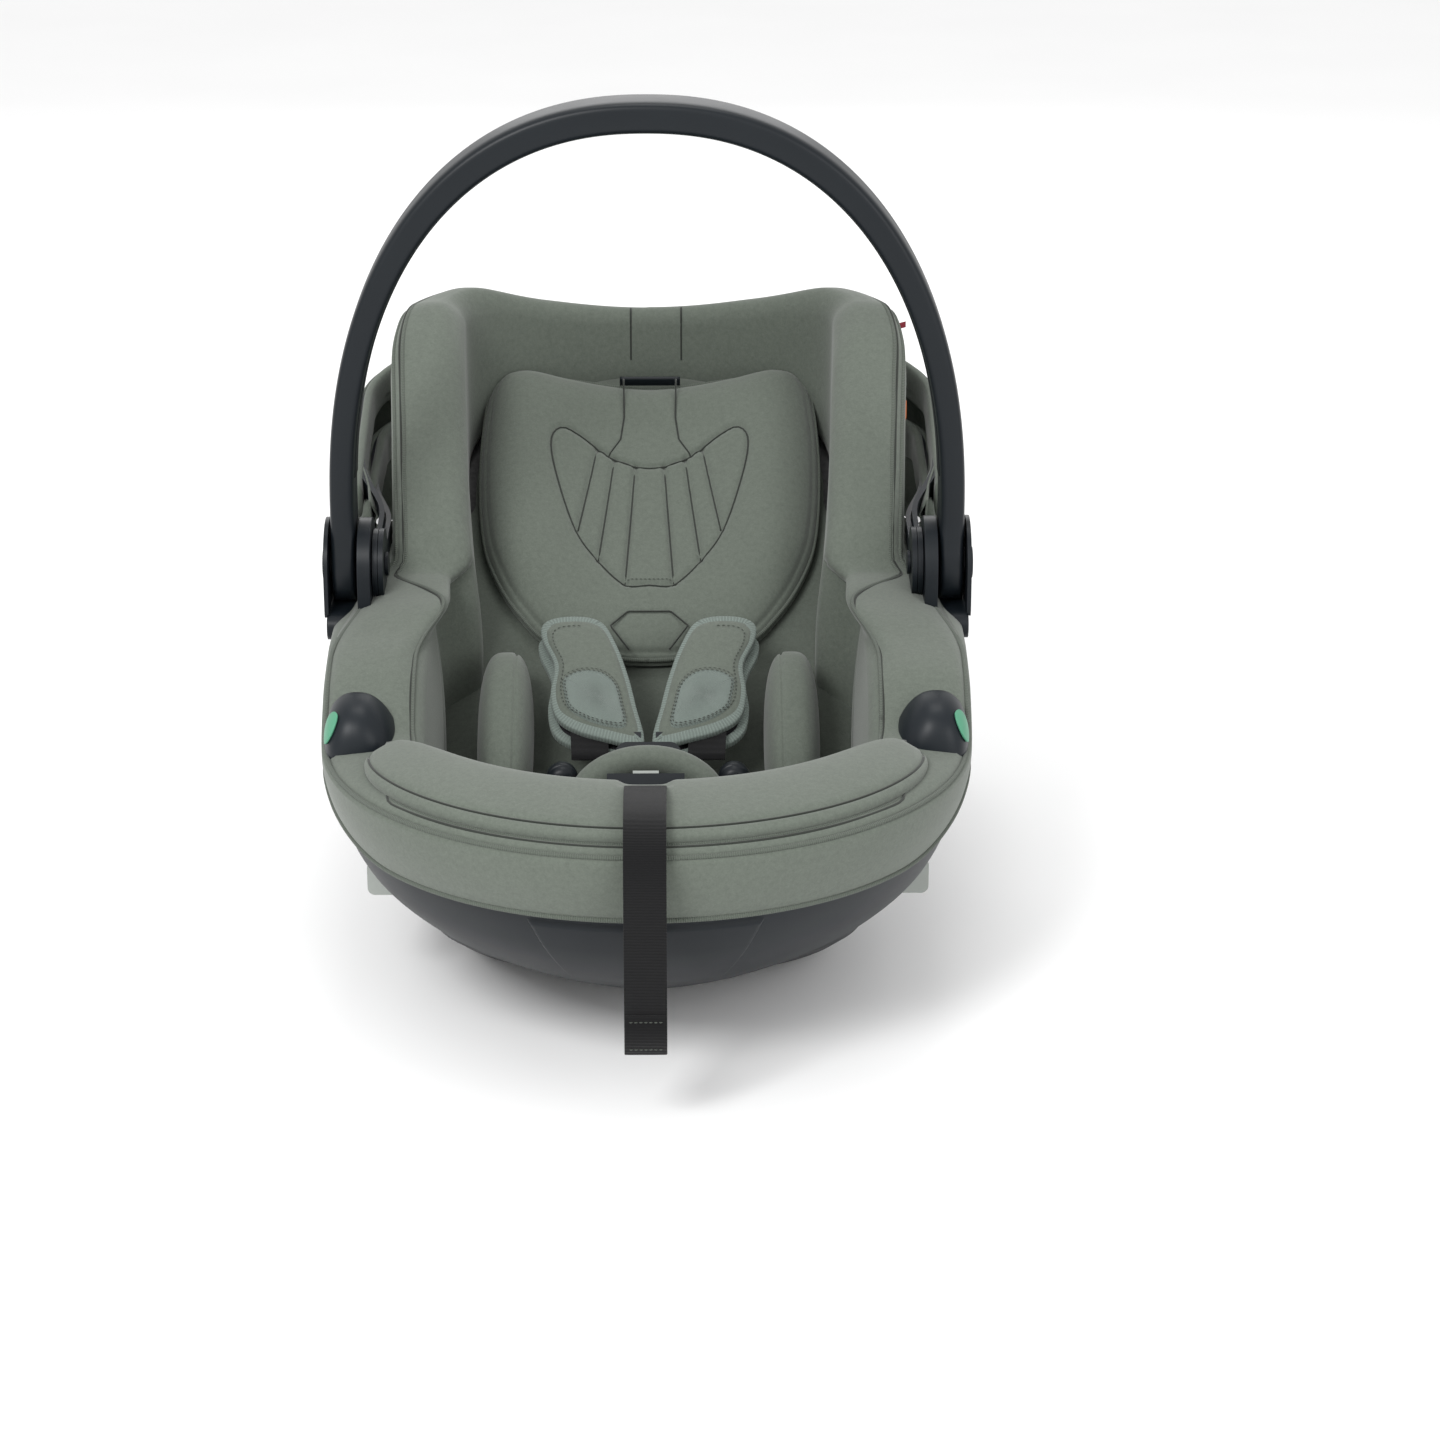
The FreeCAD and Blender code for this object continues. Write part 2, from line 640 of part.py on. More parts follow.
def headrest_plate():
    return rest_solid(14, REST_GAP, REST_PLATE)


def headrest_cushion():
    return rest_solid(0, REST_GAP + REST_PLATE, REST_THICK)


def headrest_lever():
    """Pull lever above the headrest plate that frees its height lock."""
    bar = box(-30, 0, 0, 30, 9, 12)
    bar = rounded(bar, 3, lambda e: abs(e.tangentAt(e.FirstParameter).z) > 0.9)
    bar.translate(V(0, REST_LOW + REST_TOP + 1.5, REST_GAP + 4))
    return on_back(bar)


BOLSTER_SIZE = (19.0, 66.0, 36.0)             # half width, half length, half height
BOLSTER_AT = back_point(30, 26, -97)


def side_bolster():
    pad = ellipsoid(*BOLSTER_SIZE, BOLSTER_AT, BACK_ANGLE)
    return one(pad.cut(cavity(PAD_THICK).cut(cavity(0))))


PAD_LINE = (V(0, 45, 206), V(0, -50, 156))   # top and lower end of the shoulder pads
PAD_WIDE = 58.0
PAD_DEEP = 12.0
PAD_CORNER = 14.0
PAD_APART = 38.0                              # from the middle to each pad's middle line
STRAP_OUT = 11.0                              # strap past each end of the pad


def pad_angle():
    top, low = PAD_LINE
    return math.degrees(math.atan2(top.z - low.z, top.y - low.y))


def shoulder_pad():
    top, low = PAD_LINE
    middle = (top + low) * 0.5 + V(-PAD_APART, 0, 0)
    pad = tilted_box(PAD_WIDE, (top - low).Length, PAD_DEEP, middle, pad_angle(), PAD_CORNER)
    slot = tilted_box(WEB + 2, 300, WEB_THICK + 1, middle, pad_angle())
    return one(pad.cut(slot))


def shoulder_strap():
    """Webbing through the left shoulder pad, from behind its top to the buckle tongue."""
    top, low = PAD_LINE
    middle = (top + low) * 0.5 + V(-PAD_APART, 0, 0)
    return tilted_box(WEB, (top - low).Length + 2 * STRAP_OUT, WEB_THICK, middle, pad_angle())


BUCKLE = V(0, -72, 127)
BUCKLE_TILT = 62.0
BUCKLE_HALF = (22.0, 28.0, 9.0)               # half width, half height, half depth
BUCKLE_ROUND = 8.0
BUTTON_LOW, BUTTON_HIGH, BUTTON_HALF = -14.0, 12.0, 11.0
BUTTON_FLOOR = 2.0                            # floor of the button's well
BUTTON_PROUD = 1.5
BUTTON_GAP = 0.2
TONGUE = (5.0, 18.0)                          # inner and outer edge of a blade
TONGUE_FIT = 1.0                              # slot past each edge of the blade


def in_buckle(shape):
    return placed(shape, BUCKLE, BUCKLE_TILT)


def buckle_housing():
    wide, tall, deep = BUCKLE_HALF
    body = box(-wide, -tall, -deep, wide, wide, deep)
    body = rounded(body, BUCKLE_ROUND, lambda e: abs(e.tangentAt(e.FirstParameter).z) > 0.9)
    well = BUTTON_HALF + BUTTON_GAP
    low, high = BUTTON_LOW - BUTTON_GAP, BUTTON_HIGH + BUTTON_GAP
    body = body.cut(box(-well, low, BUTTON_FLOOR, well, high, deep + 1))
    near, far = TONGUE[0] - TONGUE_FIT, TONGUE[1] + TONGUE_FIT
    for x0, x1 in ((-far, -near), (near, far)):
        body = body.cut(box(x0, 6, -4, x1, tall + 2, 0))
    return in_buckle(one(body))


def buckle_button():
    top = BUCKLE_HALF[2] + BUTTON_PROUD
    return in_buckle(box(-BUTTON_HALF, BUTTON_LOW, BUTTON_FLOOR + 2.6, BUTTON_HALF, BUTTON_HIGH, top))


def buckle_tongue():
    blade = box(-TONGUE[1], 8, -3.2, -TONGUE[0], 26, -0.8)
    plate = box(-TONGUE[1] - 6, 22.5, -3.2, -TONGUE[0], 30, -0.8)
    return in_buckle(blade.fuse(plate).removeSplitter())


def crotch_strap():
    strap = box(-WEB / 2, -60, -WEB_THICK / 2, WEB / 2, -28.3, WEB_THICK / 2)
    strap = in_buckle(strap)
    return one(strap.cut(cavity(PAD_THICK).cut(cavity(0))))


HOOD = V(0, -150, 106)                        # foot of the crotch pad's front face
HOOD_R = 50.0
HOOD_DEEP = 16.0
HOOD_RISE = 18.0                              # centre of its curve above the foot
HOOD_SLOT = (30.0, 20.0, 30.0)                # half width, low and high edge
HOOD_LEAN = -22.0


def crotch_pad():
    """Arched pad in front of the buckle, with the adjuster strap's slot below it."""
    y, z = HOOD.y, HOOD.z
    half, low, high = HOOD_SLOT
    outer = Part.makeCylinder(HOOD_R, HOOD_DEEP, V(0, y, z + HOOD_RISE), V(0, 1, 0))
    pad = outer.common(box(-HOOD_R - 10, y - 1, z + 3, HOOD_R + 10, y + 30, z + 80))
    pad = pad.cut(box(-half, y - 1, z + low, half, y + 30, z + high))
    pad.rotate(HOOD, V(1, 0, 0), HOOD_LEAN)
    return one(pad.cut(cavity(PAD_THICK).cut(cavity(0))))


HOLDER = V(-57, -88, 131)
HOLDER_SIZE = (11.0, 9.0, 12.0)
HOLDER_STEM_R = 5.0


def belt_holder():
    """Magnetic holder on a short stem that keeps the left tongue out of the way."""
    ball = ellipsoid(*HOLDER_SIZE, HOLDER)
    stem = Part.makeCylinder(HOLDER_STEM_R, 40, HOLDER + V(0, 6, -47))
    holder = ball.fuse(stem)
    return one(holder.cut(cavity(PAD_THICK + 1).cut(cavity(0))))


ADJUSTER = V(0, -232, 178)
ADJUSTER_TILT = -24.0


def harness_adjuster():
    """Webbing adjuster sunk in the liner behind the foot lip."""
    body = box(-24, -20, -8, 24, 20, 10)
    body = body.cut(box(-STRAP_WEB / 2 - 0.5, -21, -1.4, STRAP_WEB / 2 + 0.5, 21, 1.4))
    body = body.cut(box(-8.2, -14.2, 3.0, 8.2, 2.2, 12))
    return place_adjuster(body)


def place_adjuster(shape):
    return placed(shape, ADJUSTER, ADJUSTER_TILT)


def adjuster_button():
    return place_adjuster(box(-8, -14, 6.4, 8, 2, 12))


# The free end of the adjuster strap: (y, z) points of its middle line
STRAP_ROUTE = [
    (-256, 189), (-277, 200), (-305, 202), (-332, 196), (-350, 176), (-351, 131), (-350, 89), (-350, 53)]


def strap_path():
    """Straight runs joined by tangent arcs."""
    points = [V(0, y, z) for y, z in STRAP_ROUTE]
    edges = []
    here = points[0]
    for a, b, c in zip(points, points[1:], points[2:]):
        into, out = (b - a), (c - b)
        turn = into.getAngle(out)
        cut = 0.45 * min(into.Length, out.Length)
        radius = cut / math.tan(turn / 2)
        into.normalize()
        out.normalize()
        start, end = b - into * cut, b + out * cut
        aim = out - into
        aim.normalize()
        middle = b + aim * (radius / math.cos(turn / 2) - radius)
        edges.append(Part.makeLine(here, start))
        edges.append(Part.Arc(start, middle, end).toShape())
        print(f"adjuster strap bend radius {radius:.0f} mm")
        here = end
    edges.append(Part.makeLine(here, points[-1]))
    return Part.Wire(edges)


def adjuster_strap():
    path = strap_path()
    start = path.Edges[0]
    at = start.valueAt(start.FirstParameter)
    along = start.tangentAt(start.FirstParameter)
    across = V(1, 0, 0)
    up = across.cross(along)
    half, thick = STRAP_WEB / 2, WEB_THICK / 2
    corners = [at + across * sx * half + up * sz * thick for sx, sz in ((-1, -1), (1, -1), (1, 1), (-1, 1))]
    section = Part.makePolygon(corners + [corners[0]])
    solid = path.makePipeShell([section], True, True)
    print(f"adjuster strap length {path.Length:.0f} mm, volume {solid.Volume:.0f}")
    return solid


# ---------------------------------------------------------------- make every piece
os.makedirs("parts", exist_ok=True)

save("seat_shell", seat_shell())
save("rocker_base", rocker_base())
save("rubber_feet", rubber_feet())
save("base_screws", base_screws())
save("latch_bar_front", latch_bar(-LATCH_BAR_Y))
save("latch_bar_rear", latch_bar(LATCH_BAR_Y))
save("front_panel", front_panel())
save_pair("release_lever", release_lever())
save("eps_liner", eps_liner())
save("seat_pad", seat_pad())
save("outer_cover", outer_cover())
save("lip_cushion", lip_cushion())

save("handle_bow", handle_bow())
save("handle_inner_trim", handle_inner_trim())
save_pair("hub_housing", hub_housing())
save_pair("pivot_pin", pivot_pin())
save_pair("handle_button", handle_button())

save("canopy_front_bow", bow(*FRONT_BOW, PLATE_FRONT, FRONT_ANGLE))
save("canopy_mid_bow", bow(*MID_BOW, PLATE_MID, MID_ANGLE))
save_pair("canopy_pin", canopy_pin())
save("canopy_rivets", Part.makeCompound([canopy_rivet(), mirrored(canopy_rivet())]))
save("canopy_fabric", canopy_fabric())

save_pair("belt_guide", belt_guide())
save_pair("belt_marker", belt_marker())

save("headrest_plate", headrest_plate())
save("headrest_cushion", headrest_cushion())
save("headrest_lever", headrest_lever())
save_pair("side_bolster", side_bolster())
save_pair("shoulder_pad", shoulder_pad())
save_pair("shoulder_strap", shoulder_strap())
save("buckle_housing", buckle_housing())
save("buckle_button", buckle_button())
save_pair("buckle_tongue", buckle_tongue())
save("crotch_strap", crotch_strap())
save("crotch_pad", crotch_pad())
save_pair("belt_holder", belt_holder())
save("harness_adjuster", harness_adjuster())
save("adjuster_button", adjuster_button())
save("adjuster_strap", adjuster_strap())
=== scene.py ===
"""Infant car seat: cloth, padding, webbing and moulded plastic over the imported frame."""
import math

import bmesh
import bpy
import numpy as np
from bpy.props import FloatProperty, FloatVectorProperty, PointerProperty
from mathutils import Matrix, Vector


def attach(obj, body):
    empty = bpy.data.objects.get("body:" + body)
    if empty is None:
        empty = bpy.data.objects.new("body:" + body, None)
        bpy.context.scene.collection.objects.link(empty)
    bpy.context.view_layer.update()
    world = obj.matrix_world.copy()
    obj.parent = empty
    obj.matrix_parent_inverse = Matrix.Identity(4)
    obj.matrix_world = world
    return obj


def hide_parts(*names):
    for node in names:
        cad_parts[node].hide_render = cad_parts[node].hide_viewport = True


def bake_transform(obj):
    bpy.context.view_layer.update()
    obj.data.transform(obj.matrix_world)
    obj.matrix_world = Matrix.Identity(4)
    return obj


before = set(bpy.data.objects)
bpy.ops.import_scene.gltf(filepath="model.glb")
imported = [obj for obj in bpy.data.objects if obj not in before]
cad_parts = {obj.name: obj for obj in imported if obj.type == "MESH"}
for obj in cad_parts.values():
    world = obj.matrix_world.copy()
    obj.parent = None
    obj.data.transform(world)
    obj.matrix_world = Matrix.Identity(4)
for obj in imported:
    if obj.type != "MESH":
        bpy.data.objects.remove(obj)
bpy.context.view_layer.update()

bl_info = {
    "name": "Infant Car Seat",
    "version": (1, 0, 0),
    "blender": (4, 5, 0),
    "location": "View3D > Sidebar > Car Seat",
    "description": "Builds the soft goods and finishes of an infant car seat",
    "category": "Add Mesh",
}

MM = 0.001

# ---------------------------------------------------------------- sizes, in millimetres
# The tub in plan: height, foot end, head end and half width
TUB = np.array([
    (25, -190, 102, 112), (45, -232, 142, 142), (70, -272, 180, 168), (100, -302, 214, 187),
    (130, -320, 242, 197), (175, -334, 270, 204), (215, -338, 289, 206), (243, -339, 297, 171),
    (300, -340, 312, 174), (370, -340, 322, 180), (420, -340, 327, 184)], float)
FOOT_ROUND = 190.0
HEAD_ROUND = 165.0
RIM = np.array([
    (-380, 168), (-338, 168), (-250, 170), (-190, 172), (-160, 176), (-132, 190), (-108, 202),
    (-60, 214), (-20, 221), (26, 224), (50, 248), (90, 288), (140, 328), (180, 356), (212, 368),
    (248, 368), (283, 352), (303, 336), (322, 317), (360, 300)], float)
HEM = np.array([
    (-380, 127), (-320, 127), (-250, 129), (-190, 146), (-150, 161), (-60, 165), (360, 172)], float)
BORDER = 46.0
FOOT_BORDER = 72.0
HEAD_BORDER = 34.0
CAVITY_HEAD_ROUND = 72.0
EDGE_ROLL = 17.0        # soft inner edge of the border
LIP_RISE = 9.0          # padded fabric over the rim
BACK_LOW = (-30.0, 95.0)
BACK_ANGLE = math.radians(34.9)
SEAT_LINE = np.array([
    (-380, 196), (-300, 188), (-262, 166), (-225, 146), (-150, 106), (-60, 91), (-30, 95)], float)
PIVOT_Y = 10.0
PIVOT_Z = 250.0
HANDLE_OUT = 212.5
HANDLE_RISE = 316.0
HANDLE_POWER = 2.25
ARM_STRAIGHT = 40.0
ARM_THICK = 17.0
HANDLE_THICK = 21.0
HANDLE_WIDE = 38.0
END_R = 25.0
REST_LOW = 114.0
REST_HALF = [(62, 5), (92, 35), (112, 75), (120, 115), (122, 178), (116, 240), (99, 256), (60, 249)]
REST_TOP, REST_BOTTOM = 240.0, -6.0
REST_THICK = 30.0
REST_SEAT = 3.8         # from the back line to the cushion's underside
PAD_TOP, PAD_LOW = (45.0, 206.0), (-50.0, 156.0)
PAD_DROP = 12.0         # the cloth hangs this far down its strap
STRAP_ROUTE = [
    (-256, 189), (-277, 200), (-305, 202), (-332, 196), (-350, 176), (-351, 131), (-350, 89), (-350, 53)]
STRAP_WIDE = 26.0
STRAP_THICK = 1.6
HARNESS_WIDE = 25.0
MID_ANGLE, FRONT_ANGLE = math.radians(5), math.radians(14)


class SeatSizes(bpy.types.PropertyGroup):
    """Sizes of the sewn work that a user may change."""
    border_crown: FloatProperty(
        name="Border crown", description="How far the padded border stands up at its middle",
        default=5.0 * MM, unit="LENGTH")
    piping: FloatProperty(
        name="Piping", description="Radius of the piping cord", default=1.5 * MM, unit="LENGTH")
    channel_depth: FloatProperty(
        name="Channel depth", description="Depth of the sewn channels", default=2.6 * MM, unit="LENGTH")
    lobe_drop: FloatProperty(
        name="Canopy fold", description="How far a folded canopy lobe hangs", default=34 * MM, unit="LENGTH")
    lip_puff: FloatProperty(
        name="Foot cushion puff", description="Extra height of the foot cushion's crown",
        default=3.0 * MM, unit="LENGTH")


class SeatColours(bpy.types.PropertyGroup):
    """Colours of the finishes."""
    fabric: FloatVectorProperty(
        name="Fabric", description="Melange jersey of the cover", subtype="COLOR", size=3,
        default=(0.100, 0.115, 0.096), min=0, max=1)
    binding: FloatVectorProperty(
        name="Binding", description="Tape and piping", subtype="COLOR", size=3,
        default=(0.150, 0.180, 0.163), min=0, max=1)
    plastic: FloatVectorProperty(
        name="Plastic", description="Moulded handle and hubs", subtype="COLOR", size=3,
        default=(0.0052, 0.0075, 0.0100), min=0, max=1)
    webbing: FloatVectorProperty(
        name="Webbing", description="Harness webbing", subtype="COLOR", size=3,
        default=(0.0035, 0.0035, 0.004), min=0, max=1)
    marker: FloatVectorProperty(
        name="Marker", description="Inserts that show the belt path", subtype="COLOR", size=3,
        default=(0.075, 0.25, 0.155), min=0, max=1)
    lever: FloatVectorProperty(
        name="Lever", description="Grey release levers", subtype="COLOR", size=3,
        default=(0.30, 0.32, 0.30), min=0, max=1)


# ---------------------------------------------------------------- curves and plans
def smooth_table(x, table, column=1):
    """Monotone cubic through the rows of a table, by its first column."""
    xs, ys = table[:, 0], table[:, column]
    h = np.diff(xs)
    d = np.diff(ys) / h
    m = np.zeros_like(ys)
    w1, w2 = 2 * h[1:] + h[:-1], h[1:] + 2 * h[:-1]
    with np.errstate(divide="ignore", invalid="ignore"):
        inner = (w1 + w2) / (w1 / d[:-1] + w2 / d[1:])
    m[1:-1] = np.where(d[1:] * d[:-1] > 0, inner, 0)
    m[0], m[-1] = d[0], d[-1]
    x = np.clip(x, xs[0], xs[-1])
    i = np.clip(np.searchsorted(xs, x) - 1, 0, len(h) - 1)
    t = (x - xs[i]) / h[i]
    return (ys[i] * (1 + 2 * t) * (1 - t) ** 2 + m[i] * h[i] * t * (1 - t) ** 2
            + ys[i + 1] * t * t * (3 - 2 * t) + m[i + 1] * h[i] * t * t * (t - 1))


def smooth_loop(points, count):
    """Closed cubic through points, count steps evenly spaced by length."""
    p = np.asarray(points, float)
    n = len(p)
    tangent = (np.roll(p, -1, 0) - np.roll(p, 1, 0)) / 2
    t = np.linspace(0, 1, 24, endpoint=False)[:, None]
    parts = []
    for i in range(n):
        a, b, ma, mb = p[i], p[(i + 1) % n], tangent[i], tangent[(i + 1) % n]
        parts.append(a * (1 + 2 * t) * (1 - t) ** 2 + ma * t * (1 - t) ** 2
                     + b * t * t * (3 - 2 * t) + mb * t * t * (t - 1))
    fine = np.concatenate(parts)
    closed = np.vstack([fine, fine[:1]])
    run = np.concatenate([[0], np.cumsum(np.linalg.norm(np.diff(closed, axis=0), axis=1))])
    at = np.linspace(0, run[-1], count, endpoint=False)
    return np.stack([np.interp(at, run, closed[:, k]) for k in range(p.shape[1])], -1)


def smooth_step(x, low, high):
    """0 below low, 1 above high, and 3t^2 - 2t^3 between."""
    t = np.clip((x - low) / (high - low), 0, 1)
    return t * t * (3 - 2 * t)


def tub_plan(t, z, side=0.0, foot=None, head=None, head_round=None):
    """Plan point of the tub at turn t (0 to 1: foot arc, left side, head arc, right side) and height z."""
    foot = side if foot is None else foot
    head = side if head is None else head
    turn = HEAD_ROUND + head if head_round is None else head_round
    y0 = smooth_table(z, TUB, 1) - foot
    y1 = smooth_table(z, TUB, 2) + head
    half = smooth_table(z, TUB, 3) + side
    fr = np.minimum(FOOT_ROUND + foot, 0.52 * (y1 - y0))
    hr = np.minimum(turn, 0.42 * (y1 - y0))
    t = np.mod(t, 1.0)
    a = t / 0.3 * np.pi
    b = (t - 0.5) / 0.3 * np.pi
    low, high = y0 + fr, y1 - hr
    parts = [t < 0.3, t < 0.5, t < 0.8]
    x = np.select(parts, [half * np.cos(a), -half, -half * np.cos(b)], half)
    y = np.select(parts, [low - fr * np.sin(a), low + (high - low) * (t - 0.3) / 0.2,
                          high + hr * np.sin(b)], high - (high - low) * (t - 0.8) / 0.2)
    return x, y


def rim_height(y):
    """Level of the tub's rim along the seat."""
    return smooth_table(y, RIM)


def hem_height(y):
    """Level of the cover's lower edge along the seat."""
    return smooth_table(y, HEM)


def on_level(t, rise, level=rim_height, **grow):
    """Points round the tub where its wall meets a level that changes along the seat."""
    z = np.full(np.broadcast(t, rise).shape, 250.0)
    for _ in range(40):
        x, y = tub_plan(t, z, **grow)
        z = 0.5 * z + 0.5 * (level(y) + rise)
    return np.stack(np.broadcast_arrays(x, y, z), -1)


def inset(share, extra=0.0):
    """Growth arguments for a ring a share of the way over the border."""
    return dict(side=-(BORDER + extra) * share, foot=-FOOT_BORDER * share, head=-HEAD_BORDER * share,
                head_round=HEAD_ROUND + (CAVITY_HEAD_ROUND - HEAD_ROUND) * share)


def floor_height(y):
    """Sitting surface: a curve under the legs and a straight back."""
    back = BACK_LOW[1] + math.tan(BACK_ANGLE) * (y - BACK_LOW[0])
    return np.where(y > BACK_LOW[0], back, smooth_table(y, SEAT_LINE))


def on_back(x, up, out):
    """Point at x across, a distance up the back line and out from it."""
    y = BACK_LOW[0] + up * math.cos(BACK_ANGLE) - out * math.sin(BACK_ANGLE)
    z = BACK_LOW[1] + up * math.sin(BACK_ANGLE) + out * math.cos(BACK_ANGLE)
    return np.stack(np.broadcast_arrays(x, y, z), -1)


def near_lines(x, y, lines):
    """Distance from points to the nearest of some straight lines."""
    best = np.full(np.shape(x), 1e6)
    for (ax, ay), (bx, by) in lines:
        dx, dy = bx - ax, by - ay
        t = np.clip(((x - ax) * dx + (y - ay) * dy) / (dx * dx + dy * dy), 0, 1)
        best = np.minimum(best, np.hypot(x - ax - t * dx, y - ay - t * dy))
    return best


def chain(points):
    """Neighbouring points in pairs."""
    return list(zip(points[:-1], points[1:]))


# ---------------------------------------------------------------- meshes
def surface(name, points, wrap_u=False, wrap_v=False, look=None, ride="seat", slot=None,
            thick=0.0, out_from=None):
    """Quads over a grid of points in millimetres. Ends that meet in a point or a seam are welded.

    out_from is a point inside the piece: an open surface is turned to face away from it.
    """
    nu, nv = points.shape[:2]
    index = np.arange(nu * nv).reshape(nu, nv)
    a = index if wrap_u else index[:-1]
    b = np.roll(index, -1, 0) if wrap_u else index[1:]
    if not wrap_v:
        quads = np.stack([a[:, :-1], b[:, :-1], b[:, 1:], a[:, 1:]], -1).reshape(-1, 4)
    else:
        quads = np.stack([a, b, np.roll(b, -1, 1), np.roll(a, -1, 1)], -1).reshape(-1, 4)
    mesh = bpy.data.meshes.new(name)
    mesh.from_pydata((points.reshape(-1, 3) * MM).tolist(), [], quads.tolist())
    length_u = np.linalg.norm(np.diff(points, axis=0), axis=2).mean(1)
    length_v = np.linalg.norm(np.diff(points, axis=1), axis=2).mean(0)
    run_u = np.concatenate([[0], np.cumsum(length_u)]) * MM
    run_v = np.concatenate([[0], np.cumsum(length_v)]) * MM
    grid = np.stack(np.meshgrid(run_u, run_v, indexing="ij"), -1).reshape(-1, 2)
    layer = mesh.uv_layers.new(name="Cloth")
    layer.data.foreach_set("uv", grid[quads.reshape(-1)].astype(np.float32).reshape(-1))
    return dress(name, mesh, look, ride, slot, thick, out_from)


def dress(name, mesh, look=None, ride="seat", slot=None, thick=0.0, out_from=None):
    """Welds a mesh, turns its faces outward, and gives it a body, a finish and a thickness."""
    work = bmesh.new()
    work.from_mesh(mesh)
    bmesh.ops.remove_doubles(work, verts=work.verts, dist=2e-6)
    bmesh.ops.dissolve_degenerate(work, edges=work.edges, dist=1e-7)
    bmesh.ops.recalc_face_normals(work, faces=work.faces)
    if out_from is not None:
        middle = Vector(out_from) * MM
        total = sum((f.calc_center_median() - middle).dot(f.normal) * f.calc_area() for f in work.faces)
        if total < 0:
            bmesh.ops.reverse_faces(work, faces=work.faces)
    work.to_mesh(mesh)
    work.free()
    mesh.shade_smooth()
    piece = bpy.data.objects.new(name, mesh)
    bpy.context.scene.collection.objects.link(piece)
    if thick:
        shell = piece.modifiers.new("Thickness", "SOLIDIFY")
        shell.thickness = thick * MM
        shell.offset = -1
    if look:
        mesh.materials.append(bpy.data.materials[look])
    if ride:
        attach(piece, ride)
    return piece


def capped(points):
    """Adds the middle of the first and last rings, so that a tube closes."""
    first = np.repeat(points[:1].mean(1, keepdims=True), points.shape[1], 1)
    last = np.repeat(points[-1:].mean(1, keepdims=True), points.shape[1], 1)
    return np.concatenate([first, points, last])


def tube(name, path, radius, sides=10, closed=False, **about):
    """Round tube along points in millimetres."""
    path = np.asarray(path, float)
    if closed:
        tangent = np.roll(path, -1, 0) - np.roll(path, 1, 0)
    else:
        tangent = np.gradient(path, axis=0)
    tangent /= np.linalg.norm(tangent, axis=1, keepdims=True)
    side = np.cross(tangent, (0.03, 0.05, 1.0))
    side /= np.linalg.norm(side, axis=1, keepdims=True)
    up = np.cross(side, tangent)
    a = np.linspace(0, 2 * np.pi, sides, endpoint=False)
    ring = side[:, None] * np.cos(a)[None, :, None] + up[:, None] * np.sin(a)[None, :, None]
    points = path[:, None] + radius * ring
    if not closed:
        points = capped(points)
    return surface(name, points, wrap_u=closed, wrap_v=True, **about)


def round_rect(half_a, half_b, radius, count=40):
    """Closed section: a superellipse between a rectangle and an oval."""
    power = 2 + 6 * (1 - radius)
    a = np.linspace(0, 2 * np.pi, count, endpoint=False)
    c, s = np.cos(a), np.sin(a)
    return (half_a * np.sign(c) * np.abs(c) ** (2 / power), half_b * np.sign(s) * np.abs(s) ** (2 / power))


def stitches(name, path, normal, step=4.2, length=2.6, radius=0.32, look="thread", ride="seat"):
    """Short thread tubes along a path, sunk by half in the cloth."""
    path = np.asarray(path, float)
    run = np.concatenate([[0], np.cumsum(np.linalg.norm(np.diff(path, axis=0), axis=1))])
    count = max(2, int(run[-1] / step))
    verts, faces = [], []
    a = np.linspace(0, 2 * np.pi, 6, endpoint=False)
    normal = np.broadcast_to(np.asarray(normal, float), path.shape)
    for k in range(count):
        s0 = (k + 0.2) * run[-1] / count
        ends = np.array([[np.interp(s, run, path[:, i]) for i in range(3)] for s in (s0, s0 + length)])
        up = np.array([np.interp(s0, run, normal[:, i]) for i in range(3)])
        along = ends[1] - ends[0]
        along /= np.linalg.norm(along) + 1e-9
        across = np.cross(along, up)
        across /= np.linalg.norm(across) + 1e-9
        up = np.cross(across, along)
        ring = radius * (np.cos(a)[:, None] * across * 1.5 + np.sin(a)[:, None] * up)
        base = len(verts)
        verts += (ends[0] + ring * 0.3).tolist() + (ends.mean(0) + up * 0.25 + ring).tolist()
        verts += (ends[1] + ring * 0.3).tolist()
        for r in (0, 6):
            faces += [(base + r + i, base + r + (i + 1) % 6, base + r + 6 + (i + 1) % 6, base + r + 6 + i)
                      for i in range(6)]
        faces += [tuple(base + i for i in reversed(range(6))), tuple(base + 12 + i for i in range(6))]
    mesh = bpy.data.meshes.new(name)
    mesh.from_pydata((np.array(verts) * MM).tolist(), [], faces)
    return dress(name, mesh, look, ride)


def cushion(name, outline, height, place, rings=40, underside=0.0, **about):
    """Closed padded form over a plan outline.

    The grid runs from the middle to the outline over the top and back along the underside.
    height(x, y, r) is the top's height, which falls to zero at r = 1; place maps (x, y, height) to 3-D.
    """
    middle = outline.mean(0)
    r = np.sin(np.linspace(0, np.pi / 2, rings))[None, :, None]
    plan = middle + (outline[:, None] - middle) * r
    top = height(plan[..., 0], plan[..., 1], np.broadcast_to(r[..., 0], plan.shape[:2]))
    upper = place(plan[..., 0], plan[..., 1], top)
    back = plan[:, ::-1][:, 1:]
    low = -underside * (1 - np.linalg.norm(r[:, ::-1][:, 1:], axis=2) ** 4)
    lower = place(back[..., 0], back[..., 1], np.broadcast_to(low, back.shape[:2]))
    return surface(name, np.concatenate([upper, lower], 1), wrap_u=True, **about)


